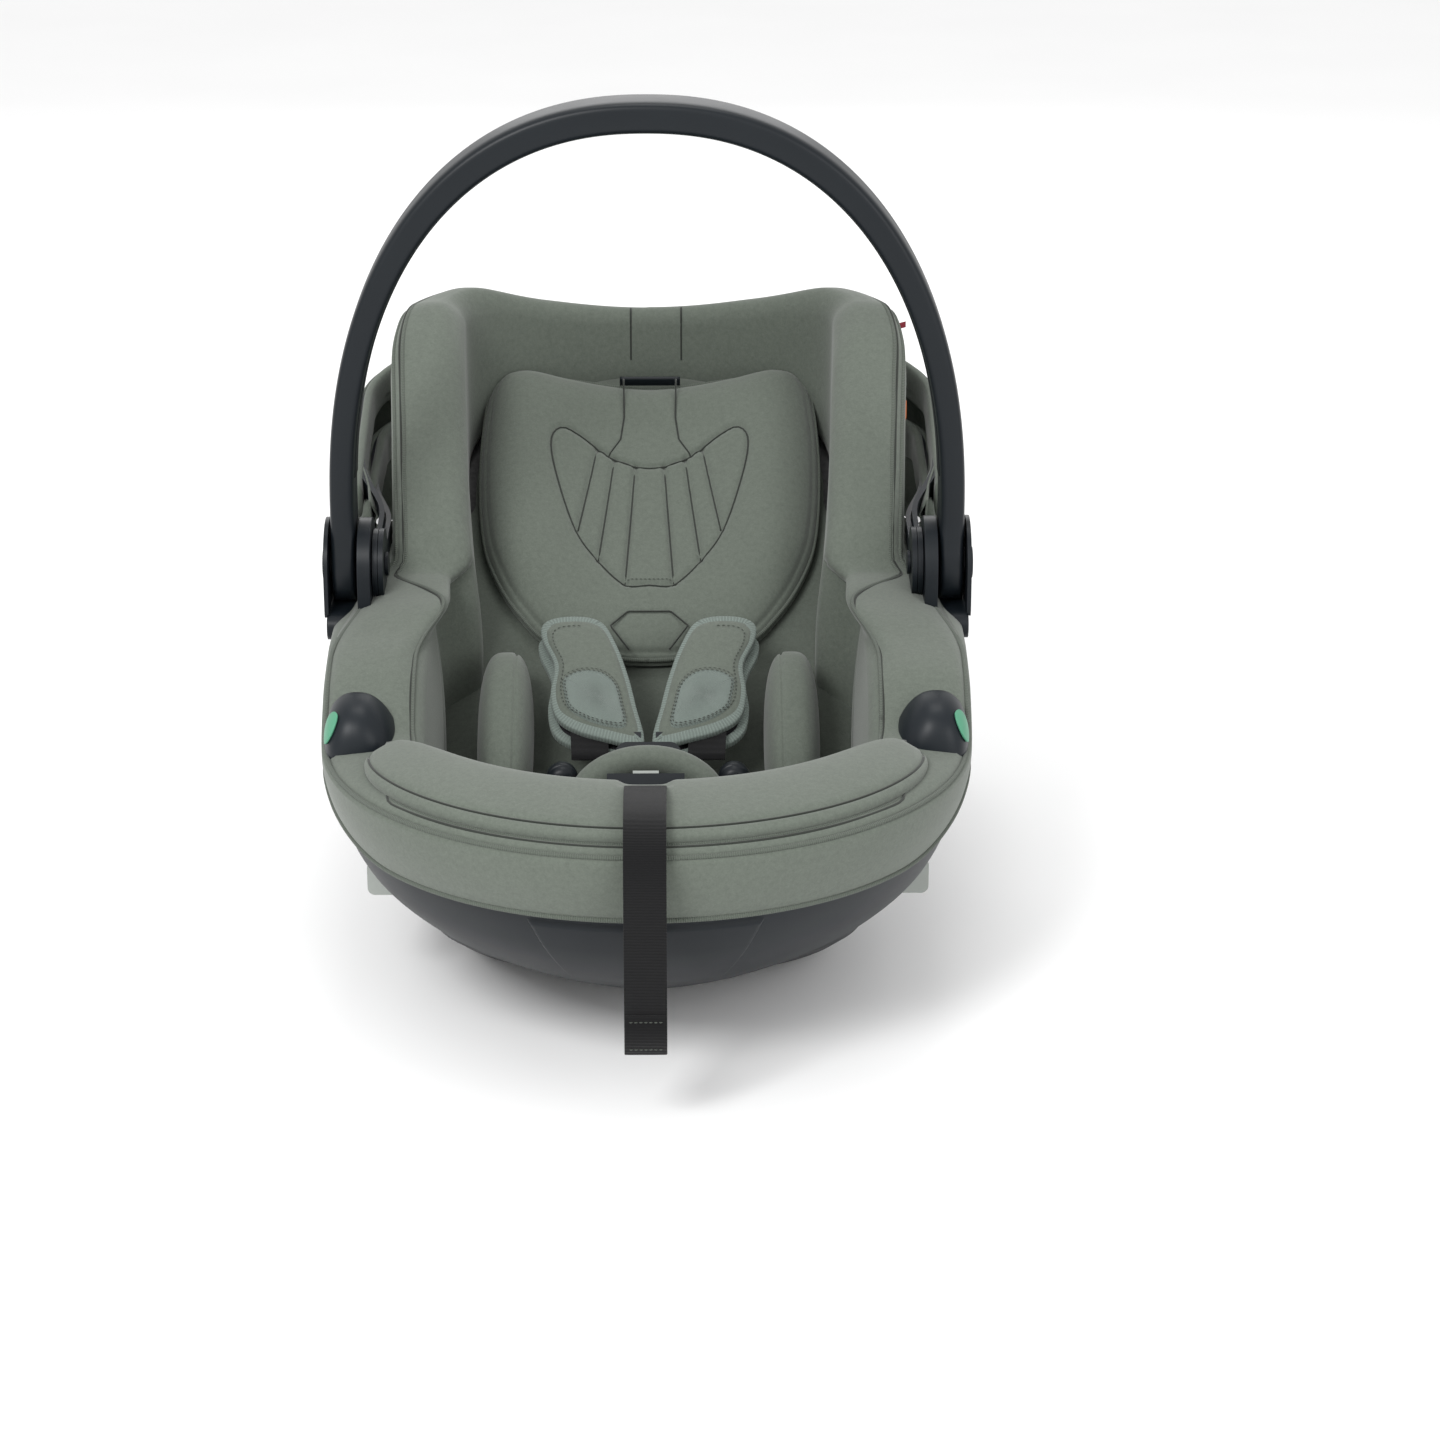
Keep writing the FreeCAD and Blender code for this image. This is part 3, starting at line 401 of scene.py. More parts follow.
# ---------------------------------------------------------------- finishes
class Wire:
    """A shader socket that takes part in Python's arithmetic."""

    def __init__(self, look, socket):
        self.look = look
        self.socket = socket

    def maths(self, kind, first, second):
        return self.look.node("ShaderNodeMath", {"operation": kind}, {0: first, 1: second})

    def __add__(self, other):
        return self.maths("ADD", self, other)

    def __sub__(self, other):
        return self.maths("SUBTRACT", self, other)

    def __rsub__(self, other):
        return self.maths("SUBTRACT", other, self)

    def __mul__(self, other):
        return self.maths("MULTIPLY", self, other)

    __radd__ = __add__
    __rmul__ = __mul__


class Look:
    """A material under construction."""

    def __init__(self, name):
        self.material = bpy.data.materials.new(name)
        self.material.use_nodes = True
        self.tree = self.material.node_tree
        self.shader = self.tree.nodes["Principled BSDF"]

    def node(self, kind, settings=None, inputs=None, output=0):
        made = self.tree.nodes.new(kind)
        for name, value in (settings or {}).items():
            setattr(made, name, value)
        for key, value in (inputs or {}).items():
            self.plug(made.inputs[key], value)
        return Wire(self, made.outputs[output])

    def plug(self, socket, value):
        if isinstance(value, Wire):
            self.tree.links.new(value.socket, socket)
        else:
            socket.default_value = value

    def place(self):
        return self.node("ShaderNodeTexCoord", output="Object")

    def cloth_place(self):
        """Metres along the piece's own grid."""
        return self.node("ShaderNodeUVMap", {"uv_map": "Cloth"})

    def noise(self, scale, detail=2.0, rough=0.5):
        return self.node("ShaderNodeTexNoise", {}, {
            "Vector": self.place(), "Scale": scale, "Detail": detail, "Roughness": rough})

    def waves(self, scale, at):
        return self.node("ShaderNodeTexWave", {"wave_type": "BANDS", "bands_direction": "X"}, {
            "Vector": at, "Scale": scale, "Distortion": 0.0, "Detail": 0.0})

    def mix(self, share, one, other):
        return self.node("ShaderNodeMix", {"data_type": "RGBA"}, {0: share, 6: one, 7: other}, 2)

    def bump(self, height, strength, distance):
        return self.node("ShaderNodeBump", {}, {
            "Height": height, "Strength": strength, "Distance": distance})

    def finish(self, **sockets):
        names = {"colour": "Base Color", "rough": "Roughness", "normal": "Normal", "metal": "Metallic",
                 "sheen": "Sheen Weight", "sheen_rough": "Sheen Roughness",
                 "shine": "Specular IOR Level"}
        for key, value in sockets.items():
            self.plug(self.shader.inputs[names[key]], value)
        return self.material


def tone(colour, factor):
    """A colour made lighter or darker, with its alpha."""
    return tuple(min(1.0, c * factor) for c in colour) + (1.0,)


def jersey(name, colour, contrast=0.42, weave=900.0):
    """Melange jersey: fine light and dark fibres, slow drift in tone, and a fine knit."""
    look = Look(name)
    fibre = look.noise(weave, 3.0, 0.7)
    fleck = look.noise(weave * 0.35, 2.0, 0.6)
    drift = look.noise(14.0, 2.0)
    share = fibre * 0.9 + fleck * 0.7 - 0.3
    yarn = look.mix(share, tone(colour, 1 - contrast), tone(colour, 1 + contrast))
    shade = look.mix(drift, tone(colour, 0.93), tone(colour, 1.07))
    return look.finish(
        colour=look.mix(0.35, yarn, shade), rough=fleck * 0.12 + 0.82,
        normal=look.bump(fibre + fleck, 0.22, 0.0005), sheen=0.2, sheen_rough=0.5, shine=0.2)


def tape(name, colour, rib=900.0, contrast=0.22):
    """Woven tape: fine ribs across its run with uneven yarn."""
    look = Look(name)
    ribs = look.waves(rib / 6.2832, look.cloth_place())
    yarn = look.noise(900.0, 2.0, 0.6)
    share = ribs * 0.55 + yarn * 0.45
    return look.finish(
        colour=look.mix(share, tone(colour, 1 - contrast), tone(colour, 1 + contrast)),
        rough=yarn * 0.15 + 0.72, normal=look.bump(ribs + yarn * 0.5, 0.6, 0.0006), sheen=0.1, shine=0.15)


def moulded(name, colour, rough=0.42, grain=0.06, shine=0.24):
    """Injection-moulded plastic: fine spark-eroded grain and slightly uneven gloss."""
    look = Look(name)
    spark = look.noise(1500.0, 2.0, 0.6)
    haze = look.noise(22.0, 3.0)
    return look.finish(
        colour=look.mix(haze, tone(colour, 0.9), tone(colour, 1.12)),
        rough=haze * 0.1 + (rough - 0.05), normal=look.bump(spark, grain, 0.0003), shine=shine)


def steel(name, colour, rough=0.28):
    """Drawn steel: a fine grain in its tone, gloss and surface."""
    look = Look(name)
    drawn = look.noise(500.0, 4.0, 0.7)
    return look.finish(
        colour=look.mix(drawn, tone(colour, 0.85), tone(colour, 1.1)), metal=1.0,
        rough=drawn * 0.15 + rough, normal=look.bump(drawn, 0.05, 0.0002))


def beaded_foam(name):
    """Dark expanded foam: each bead a cell with its own tone."""
    look = Look(name)
    beads = look.node("ShaderNodeTexVoronoi", {}, {"Vector": look.place(), "Scale": 260.0})
    return look.finish(
        colour=look.mix(beads, (0.05, 0.05, 0.05, 1), (0.09, 0.09, 0.09, 1)), rough=beads * 0.1 + 0.7,
        normal=look.bump(beads, 0.4, 0.001))


def make_looks(colours):
    """Every finish of the seat, by name."""
    fabric, binding = tuple(colours.fabric), tuple(colours.binding)
    plastic, webbing = tuple(colours.plastic), tuple(colours.webbing)
    jersey("jersey", fabric)
    # darker copy of the jersey: painted shade for the seat insert deep in the hollow
    jersey("jersey shade", tuple(0.8 * c for c in fabric))
    tape("binding tape", binding)
    tape("piping tape", tuple(0.85 * c for c in fabric), 1400.0)
    tape("elastic rib", tuple(1.02 * c for c in binding), 2600.0, 0.3)
    tape("harness web", webbing, 2000.0, 0.6)
    jersey("lining", (0.014, 0.014, 0.016), 0.3)
    jersey("thread", tuple(0.5 * c for c in fabric), 0.3)
    # near-black jersey for thin tubes laid in seams and grooves: painted shadow of the seams
    jersey("seam shade", tuple(0.22 * c for c in fabric), 0.3)
    jersey("light thread", tuple(1.5 * c for c in binding), 0.25)
    moulded("handle plastic", plastic, 0.40)
    moulded("handle grip", tuple(0.75 * c for c in plastic), 0.55, 0.15)
    moulded("shell plastic", tuple(1.05 * c for c in plastic), 0.46, 0.1)
    moulded("guide plastic", tuple(1.25 * c for c in plastic), 0.42, 0.03)
    moulded("marker green", tuple(colours.marker), 0.4)
    moulded("lever grey", tuple(colours.lever), 0.45)
    moulded("button red", (0.42, 0.018, 0.015), 0.35)
    moulded("rubber", (0.012, 0.012, 0.012), 0.75, 0.2)
    moulded("tag orange", (0.62, 0.14, 0.02), 0.7, 0.3)
    moulded("tag wine", (0.16, 0.01, 0.02), 0.7, 0.3)
    moulded("tag grey", (0.2, 0.19, 0.21), 0.7, 0.3)
    steel("bar steel", (0.45, 0.46, 0.47))
    steel("rivet steel", (0.62, 0.62, 0.62), 0.2)
    beaded_foam("liner foam")


NODE_LOOKS = {
    "shell plastic": ["seat_shell", "rocker_base", "front_panel", "headrest_plate"],
    "handle plastic": ["handle_bow", "hub_housing_left", "hub_housing_right", "handle_button_left",
                       "handle_button_right", "canopy_front_bow", "canopy_mid_bow", "buckle_housing",
                       "canopy_pin_left", "canopy_pin_right",
                       "harness_adjuster", "headrest_lever", "buckle_tongue_left", "buckle_tongue_right",
                       "belt_holder_left", "belt_holder_right"],
    "handle grip": ["handle_inner_trim"],
    "guide plastic": ["belt_guide_left", "belt_guide_right"],
    "marker green": ["belt_marker_left", "belt_marker_right"],
    "lever grey": ["release_lever_left", "release_lever_right", "adjuster_button"],
    "button red": ["buckle_button"],
    "rubber": ["rubber_feet"],
    "bar steel": ["latch_bar_front", "latch_bar_rear", "base_screws", "pivot_pin_left", "pivot_pin_right"],
    "rivet steel": ["canopy_rivets"],
    "liner foam": ["eps_liner"],
}


def dress_nodes():
    """Gives each frame node a finish, also those that a drawn piece replaces."""
    for look, names in NODE_LOOKS.items():
        for name in names:
            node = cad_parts[name]
            node.data.materials.clear()
            node.data.materials.append(bpy.data.materials[look])


# ---------------------------------------------------------------- stage
CAMERA_AZIMUTH = math.radians(-0.6)
CAMERA_HEIGHT = math.radians(20)
CAMERA_DISTANCE = 2.6
CAMERA_LENS = 96.2
AIM_RIGHT, AIM_UP = 0.0486, -0.1061    # from the handle's pivot line to the view's middle


def place_camera():
    """Long lens above the foot end, aimed beside the handle's pivot line."""
    az, el = CAMERA_AZIMUTH, CAMERA_HEIGHT
    back = Vector((math.sin(az) * math.cos(el), -math.cos(az) * math.cos(el), math.sin(el)))
    right = Vector((math.cos(az), math.sin(az), 0))
    up = back.cross(right)
    target = Vector((0, PIVOT_Y, PIVOT_Z)) * MM + right * AIM_RIGHT + up * AIM_UP
    data = bpy.data.cameras.new("Camera")
    data.lens, data.sensor_width = CAMERA_LENS, 36.0
    camera = bpy.data.objects.new("Camera", data)
    camera.location = target + back * CAMERA_DISTANCE
    camera.rotation_mode = "QUATERNION"
    camera.rotation_quaternion = (-back).to_track_quat("-Z", "Y")
    bpy.context.scene.collection.objects.link(camera)
    bpy.context.scene.camera = camera


def area_light(name, place, aim, size, power):
    """Square lamp that faces a point."""
    data = bpy.data.lights.new(name, "AREA")
    data.size, data.energy = size, power
    lamp = bpy.data.objects.new(name, data)
    lamp.location = place
    lamp.rotation_euler = (Vector(aim) - Vector(place)).to_track_quat("-Z", "Y").to_euler()
    bpy.context.scene.collection.objects.link(lamp)


def light_stage():
    """White surroundings, four soft lamps and a pale floor."""
    world = bpy.data.worlds.new("Studio")
    world.use_nodes = True
    world.node_tree.nodes["Background"].inputs[0].default_value = (1, 1, 1, 1)
    world.node_tree.nodes["Background"].inputs[1].default_value = 1.0
    bpy.context.scene.world = world
    aim = (0, 0, 0.25)
    area_light("Key light", (-1.0, -1.9, 1.9), aim, 0.9, 46)
    area_light("Fill light", (1.5, -2.0, 1.1), aim, 1.2, 14)
    area_light("Top light", (0.1, 0.5, 2.8), aim, 1.0, 14)
    area_light("Rim light", (0.0, 2.4, 1.3), aim, 1.4, 8)
    bpy.context.scene.view_settings.view_transform = "Standard"
    floor = bpy.data.meshes.new("Floor")
    half = 60.0
    corners = [(-half, -half, 0), (half, -half, 0), (half, half, 0), (-half, half, 0)]
    floor.from_pydata(corners, [], [(0, 1, 2, 3)])
    piece = bpy.data.objects.new("Floor", floor)
    look = Look("floor")
    dust = look.noise(3.0, 2.0)
    floor.materials.append(look.finish(
        colour=look.mix(dust, (0.86, 0.86, 0.86, 1), (0.9, 0.9, 0.9, 1)), rough=0.9, shine=0.1))
    bpy.context.scene.collection.objects.link(piece)


# ---------------------------------------------------------------- adjuster strap
def route_line(name, points):
    """Smooth line through the strap's route, as points in millimetres."""
    data = bpy.data.curves.new(name, "CURVE")
    data.dimensions = "3D"
    data.resolution_u = 12
    spline = data.splines.new("NURBS")
    spline.points.add(len(points) - 1)
    for point, (y, z) in zip(spline.points, points):
        point.co = (0, y * MM, z * MM, 1)
    spline.order_u = 3
    spline.use_endpoint_u = True
    curve = bpy.data.objects.new(name, data)
    bpy.context.scene.collection.objects.link(curve)
    bpy.context.view_layer.update()
    mesh = bpy.data.meshes.new_from_object(curve)
    line = np.array([v.co for v in mesh.vertices]) / MM
    bpy.data.objects.remove(curve)
    return line


def web_strip(name, line, across, wide, thick, **about):
    """Flat webbing along a line, with rounded edges. Its grid runs along, then round."""
    tangent = np.gradient(line, axis=0)
    tangent /= np.linalg.norm(tangent, axis=1, keepdims=True)
    side = np.broadcast_to(np.asarray(across, float), line.shape)
    up = np.cross(side, tangent)
    a, b = round_rect(wide / 2, thick / 2, 0.25, 36)
    points = line[:, None] + side[:, None] * a[None, :, None] + up[:, None] * b[None, :, None]
    return surface(name, capped(points), wrap_v=True, **about)


def adjuster_strap():
    """Webbing over the foot end: a section STRAP_WIDE by STRAP_THICK swept along STRAP_ROUTE,
    with a row of stitches down its middle and a folded, barred end."""
    line = route_line("strap line", STRAP_ROUTE)
    strap = web_strip("adjuster_strap_web", line, (1, 0, 0), STRAP_WIDE, STRAP_THICK, look="harness web",
                      slot="webbing")
    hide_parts("adjuster_strap")
    tangent = np.gradient(line, axis=0)
    tangent /= np.linalg.norm(tangent, axis=1, keepdims=True)
    front = np.cross((1.0, 0, 0), tangent)
    rows = stitches("strap_centre_stitches", line + front * 0.75, front, 6.0, 1.4, 0.4, "light thread")
    end = line[-1]
    fold = np.array([end + (0, -1.7, 26), end + (0, -1.8, 13), end + (0, -1.7, 0.5)])
    hem = web_strip("strap_end_fold", fold, (1, 0, 0), STRAP_WIDE - 0.4, STRAP_THICK, look="harness web",
                    slot="webbing")
    for k, z in enumerate((end[2] + 4, end[2] + 22)):
        bar = np.array([(-10.5, end[1] - 2.6, z), (10.5, end[1] - 2.6, z)])
        stitches(f"strap_end_bar_{k + 1}", bar, (0, -1, 0), 3.0, 2.0, 0.35, "thread")


# ---------------------------------------------------------------- cover
TURNS = np.arange(400) / 400.0


def cover_side():
    """Outer flank from the hem (q = 0) to the border (q = 1), on the tub's plan at each height.

    It stands proud by 1 + 3.2 (a quick rise over the first ninth) + 0.9 sin(pi q), and rolls in
    by 2.5 over its last part."""
    t = TURNS[:, None]
    q = np.linspace(0, 1, 40)[None, :]
    low = on_level(t, np.zeros_like(t), hem_height, side=4.0)[..., 2]
    high = on_level(t, np.full_like(t, LIP_RISE - 3.0), side=3.0)[..., 2]
    z = low + (high - low) * q
    proud = 1.0 + 3.2 * (1 - (1 - np.minimum(q * 9, 1)) ** 2) + 0.9 * np.sin(np.pi * q)
    proud = proud - 2.5 * smooth_step(q, 0.94, 1.0)
    x, y = tub_plan(t, z, proud)
    points = np.stack([x, y, z], -1)
    side = surface("cover_side", points, wrap_u=True, look="jersey", slot="seat_fabric", thick=1.6,
                   out_from=(0, 0, 200))
    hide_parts("outer_cover")
    hem = np.stack([*tub_plan(TURNS, low[:, 0] + 2.5, 4.4), low[:, 0] + 2.5], -1)
    tube("cover_hem_piping", hem, 1.7, closed=True, look="piping tape", slot="seat_fabric")


def lower_extra(y):
    """How much wider the padded side is beside the legs than by the wings."""
    return 14.0 * (1 - smooth_step(y, -20, 75)) * smooth_step(y, -250, -160)


def seam_loop(rise_at):
    """Piped seam: along the wings' outer edge, then across to the inner edge beside the legs."""
    y = on_level(TURNS, np.full(400, LIP_RISE), **inset(0.1))[:, 1]
    for _ in range(3):
        share = 0.075 + 0.80 * (1 - smooth_step(y, -45, 40)) * smooth_step(y, -262, -200)
        line = on_level(TURNS, rise_at(share), **inset(share, lower_extra(y)))
        y = line[:, 1]
    return line


def column(points, x0):
    """Line where a ring-shaped band crosses x0 at its head end."""
    rows = []
    for ring in np.swapaxes(points, 0, 1):
        head = ring[ring[:, 1] > 150]
        head = head[np.argsort(head[:, 0])]
        rows.append([x0, np.interp(x0, head[:, 0], head[:, 1]), np.interp(x0, head[:, 0], head[:, 2])])
    return np.array(rows)


def border_band(sizes):
    """Padded band over the rim that rolls over its inner edge into the lining of the hollow.

    Across the band, share s: rise = LIP_RISE - 2 + crown sin(pi s)^0.55, less a quarter circle of
    radius EDGE_ROLL at the inner edge. Below it the lining falls to under the pad, leaning in."""
    t = TURNS[:, None]
    s = 1 - (1 - np.linspace(0, 1, 44)[None, :]) ** 1.7
    crown = sizes.border_crown / MM

    def rise_at(share):
        swell = np.clip(np.sin(np.pi * np.minimum(share, 0.5)), 0, 1) ** 0.55
        short = np.clip(EDGE_ROLL - (1 - share) * BORDER, 0, EDGE_ROLL)
        roll = EDGE_ROLL - np.sqrt(EDGE_ROLL ** 2 - short ** 2)
        return LIP_RISE - 2.0 + crown * swell - roll - 4.0 * (1 - smooth_step(share, 0.0, 0.07))

    rise = rise_at(s)
    band = on_level(t + 0 * s, rise + 0 * t, **inset(s))
    band = on_level(t + 0 * s, rise + 0 * t, **inset(s, lower_extra(band[..., 1])))
    fold = np.sin(band[..., 1] * 0.11 + np.sign(band[..., 0]) * 0.8) * np.sin(s * np.pi)
    band[..., 2] += 0.5 * fold
    q = np.linspace(0, 1, 26)[None, 1:]
    x, y, z0 = band[:, -1:, 0], band[:, -1:, 1], band[:, -1:, 2]
    dx, dy = -x, np.clip(y, -150, 180) - y
    far = np.hypot(dx, dy)
    pull = (4.5 * np.sin(np.pi * q) + 6.0 * q ** 2.5) * (1 - 0.85 * smooth_step(y, 40, 130))
    low = np.minimum(floor_height(y + dy / far * 6.0) - 7.0, z0 - 4.0)
    panel = near_lines(y + 0 * q, low + (z0 - low) * (1 - q), [((-40, 100), (10, 260))])
    pull = pull - 1.6 * np.exp(-(panel / 2.2) ** 2)
    lining = np.stack([x + dx / far * pull, y + dy / far * pull, z0 + (low - z0) * q], -1)
    points = np.concatenate([band, lining], 1)
    cover = surface("border_band", points, wrap_u=True, look="jersey", slot="seat_fabric", thick=2.0,
                    out_from=(0, 0, 60))
    # dark tubes down the head end's seams: painted shadow in the seams
    for x0, name in ((-14, "left"), (23, "right")):
        line = column(points[:, 5:60], x0) + (0, -1.7, 1.5)
        tube(f"head_seam_shadow_{name}", line, 0.75, look="seam shade", slot="seat_fabric")
    edge = on_level(TURNS, np.full(400, LIP_RISE - 2.6), side=1.2)
    tube("border_outer_piping", edge, sizes.piping / MM, closed=True, look="piping tape", slot="seat_fabric")
    seam = seam_loop(rise_at)
    # dark tube along the piped seam: painted shadow in the seam
    tube("border_seam", seam + (0, 0, 1.5), 1.1, closed=True, look="seam shade", slot="seat_fabric")
    centre = seam.mean(0)
    beside = seam + (centre - seam) * (0.012, 0.008, 0) + (0, 0, 2.0)
    tube("border_seam_piping", beside, 1.4, closed=True, look="piping tape", slot="seat_fabric")


PAD_SEAMS = chain([(-64, -140), (-58, 0), (-70, 250)]) + chain([(64, -140), (58, 0), (70, 250)])
PAD_SEAMS += [((-120, -12), (120, -12)), ((-110, 60), (110, 60))]


def seat_pad(sizes):
    """Insert on the sitting surface: the hollow's plan shrunk towards a middle line by r = 0 to 1.

    Height = floor + 1.5 - 5 r^14, less channel_depth exp(-(d / 2.6)^2) at a distance d from a seam."""
    t = TURNS[:, None]
    r = np.sin(np.linspace(0, np.pi / 2, 46))[None, :]
    z = np.full_like(t, 240.0)
    for _ in range(30):
        x, y = tub_plan(t, z, side=-BORDER, foot=-FOOT_BORDER, head=-HEAD_BORDER,
                        head_round=CAVITY_HEAD_ROUND)
        z = 0.5 * z + 0.5 * floor_height(y)
    middle_y = np.clip(y, -140, 170)
    px, py = x * r, middle_y + (y - middle_y) * r
    height = floor_height(py) + 1.5 - 5.0 * r ** 14
    groove = near_lines(px, py, PAD_SEAMS)
    height = height - sizes.channel_depth / MM * np.exp(-(groove / 2.6) ** 2)
    # the insert wears the darker jersey copy: painted shade of the hollow over the same cloth as the cover
    pad = surface("seat_pad_cushion", np.stack([px, py, height], -1), wrap_u=True, look="jersey shade",
                  slot="seat_fabric", thick=6.0, out_from=(0, 0, -900))
    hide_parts("seat_pad")


def foot_cushion(sizes):
    """Crescent on the foot end, s = -1 to 1 along it and q = 0 to 1 round its section.

    The section is a flattened oval: across -cos(2 pi q), up sin(2 pi q)^0.75, leaning back, and it
    closes at both ends by (1 - |s|^7)^0.5. A seam sinks 2 mm at q = 0.10."""
    s = np.linspace(-1, 1, 181)
    turn = 0.15 + s * 0.124
    q = np.linspace(0, 1, 64)
    ring_a = -np.cos(2 * np.pi * q)          # -1 at the outer edge, +1 at the inner edge
    ring_b = np.sin(2 * np.pi * q)           # up, then down
    taper = np.clip(1 - np.abs(s) ** 7, 0, 1) ** 0.5
    thick = 15.5 + sizes.lip_puff / MM
    middle_in, spread = 33.0, 27.0
    share = (middle_in + ring_a[None, :] * spread * (0.06 + 0.94 * taper[:, None])) / BORDER
    side = -share * BORDER
    foot = -share * 46 * (FOOT_BORDER / BORDER) * 0.86
    up = np.sign(ring_b) * np.abs(ring_b) ** 0.75
    rise = LIP_RISE + 9.0 + up[None, :] * (thick / 2) * (0.05 + 0.95 * taper[:, None])
    lean = 3.5 * ring_a[None, :]
    points = on_level(turn[:, None] + 0 * side, rise + lean, side=side, foot=foot, head=side)
    seam = np.exp(-((q - 0.10) / 0.012) ** 2)[None, :]
    points[..., 2] -= 2.0 * seam
    points[..., 1] += 1.2 * seam
    centre = np.exp(-(points[..., 0] / 15.5) ** 8) * (points[..., 1] > -272) * (ring_b > -0.2)[None, :]
    points[..., 2] -= 3.0 * centre
    lip = surface("foot_cushion", capped(points), wrap_v=True, look="jersey", slot="seat_fabric")
    row = points[6:-6, int(np.argmin(np.abs(q - 0.10)))] + (0, -0.3, 0.6)
    # dark tube in the seam groove: painted shadow
    tube("foot_cushion_seam_shadow", row, 0.8, look="seam shade", slot="seat_fabric")
    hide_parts("lip_cushion")


# ---------------------------------------------------------------- headrest
def mirror_loop(half_points, top, bottom):
    """Loop from its right half, closed by a top and a bottom point on the middle line."""
    points = [(0, bottom)] + list(half_points) + [(0, top)]
    return points + [(-x, y) for x, y in reversed(half_points)]


INSET_HALF = [
    (17.5, 55), (37, 77), (53, 103), (67, 151), (70.5, 180), (63, 192), (50, 187), (37, 177), (22, 167)]
INSET_TOP, INSET_LOW = 161.0, 54.5
CHANNELS = [((38, 176), (50.5, 102)), ((25.5, 168), (36, 77)), ((10.5, 162), (17, 56))]
REST_PANEL = [(19, 237), (18.5, 205), (21, 186), (30, 171)]
TAB_HALF = [(15, 30), (27, 17), (14, -4)]


def headrest(sizes):
    """Heart-shaped cushion: raised wings round a hollow, with a sewn butterfly and its channels.

    Height = REST_THICK (0.56 + 0.42 wing + 0.05 lower - 0.16 dish + 0.16 top) (1 - r^7)^0.55, less
    channel_depth exp(-(d / 1.9)^2) at a distance d from a channel, and shallower at other seams.
    Then its piping, dark tubes painted as shadow along its seams and channels, the pull bar at its top and a
    row of stitches."""
    outline = smooth_loop(mirror_loop(REST_HALF, REST_TOP, REST_BOTTOM), 320)
    butterfly = smooth_loop(mirror_loop(INSET_HALF, INSET_TOP, INSET_LOW), 120)
    loop = chain([tuple(p) for p in np.vstack([butterfly, butterfly[:1]])])
    channels, seams = [], []
    for side in (-1, 1):
        channels += [((side * ax, ay), (side * bx, by)) for (ax, ay), (bx, by) in CHANNELS]
        seams += chain([(side * x, y) for x, y in REST_PANEL])
        seams += chain([(side * x, y) for x, y in TAB_HALF])
    seams.append(((-15, 30), (15, 30)))
    depth = sizes.channel_depth / MM

    def height(x, y, r):
        wing = smooth_step(np.abs(x), 30, 96) * smooth_step(y, 0, 90)
        lower = smooth_step(-y, -70, 20) * 0.3
        dish = np.exp(-(x / 64) ** 2 - ((y - 125) / 72) ** 2)
        top = 0.16 * smooth_step(y, 190, 230) * (1 - wing)
        crown = 0.56 + 0.42 * wing + 0.18 * lower - 0.16 * dish + top
        edge = (1 - r ** 7) ** 0.55
        out = REST_THICK * crown * edge
        out = out - 0.8 * depth * np.exp(-(near_lines(x, y, loop) / 2.0) ** 2) * (r < 0.97)
        inside = np.exp(-(near_lines(x, y, channels) / 1.9) ** 2)
        out = out - depth * inside - 0.5 * depth * np.exp(-(near_lines(x, y, seams) / 1.6) ** 2) * (r < 0.97)
        rim = np.exp(-((r - 0.955) / 0.012) ** 2)
        return np.maximum(out - 1.2 * rim * (r < 0.985), 0)

    def place(x, y, out):
        return on_back(x, REST_LOW + y, REST_SEAT + out)

    rest = cushion("headrest_padding", outline, height, place, rings=110, ride="headrest",
                   look="jersey", slot="seat_fabric")
    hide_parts("headrest_cushion")
    inner = outline.mean(0) + (outline - outline.mean(0)) * 0.992
    edge = place(inner[:, 0], inner[:, 1], np.full(320, 5.5))
    tube("headrest_piping", edge, sizes.piping / MM, closed=True, look="piping tape", ride="headrest",
         slot="seat_fabric")
    sewn = [butterfly.tolist() + [butterfly[0].tolist()]]
    for side in (-1, 1):
        sewn += [[(side * ax, ay), (side * bx, by)] for (ax, ay), (bx, by) in CHANNELS]
        sewn += [[(side * x, y) for x, y in REST_PANEL]]
    sewn += [[(-x, y) for x, y in reversed(TAB_HALF)] + list(TAB_HALF)]
    # dark tubes along the butterfly, channels and seams: painted shadow in the grooves
    for k, line in enumerate(sewn):
        line = np.array(line)
        share = np.linspace(0, len(line) - 1, 12 * (len(line) - 1) if len(line) < 9 else len(line))
        x = np.interp(share, np.arange(len(line)), line[:, 0])
        y = np.interp(share, np.arange(len(line)), line[:, 1])
        at = place(x, y, height(x, y, np.full(x.size, 0.4)) + 0.3)
        tube(f"headrest_seam_shadow_{k + 1}", at, 0.65, look="seam shade", ride="headrest", slot="seat_fabric")
    a, b = round_rect(1.6, 4.0, 0.6, 20)
    across = np.linspace(-22, 22, 20)[:, None]
    pull = place(across + 0 * a, REST_TOP + 3.0 + a[None, :], 11.0 + b[None, :])
    lever = surface("headrest_lever_bar", capped(pull), wrap_v=True, ride="headrest_lever",
                    look="handle plastic", slot="handle_plastic")
    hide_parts("headrest_lever")
    foot = np.array([(x, 58.0) for x in np.linspace(-16, 16, 12)])
    line = place(foot[:, 0], foot[:, 1], height(foot[:, 0], foot[:, 1], np.full(12, 0.4)) + 1.2)
    out = on_back(0, 0, 1.0) - on_back(0, 0, 0.0)
    stitches("headrest_stitches", line, out, 3.0, 1.9, 0.35, ride="headrest")


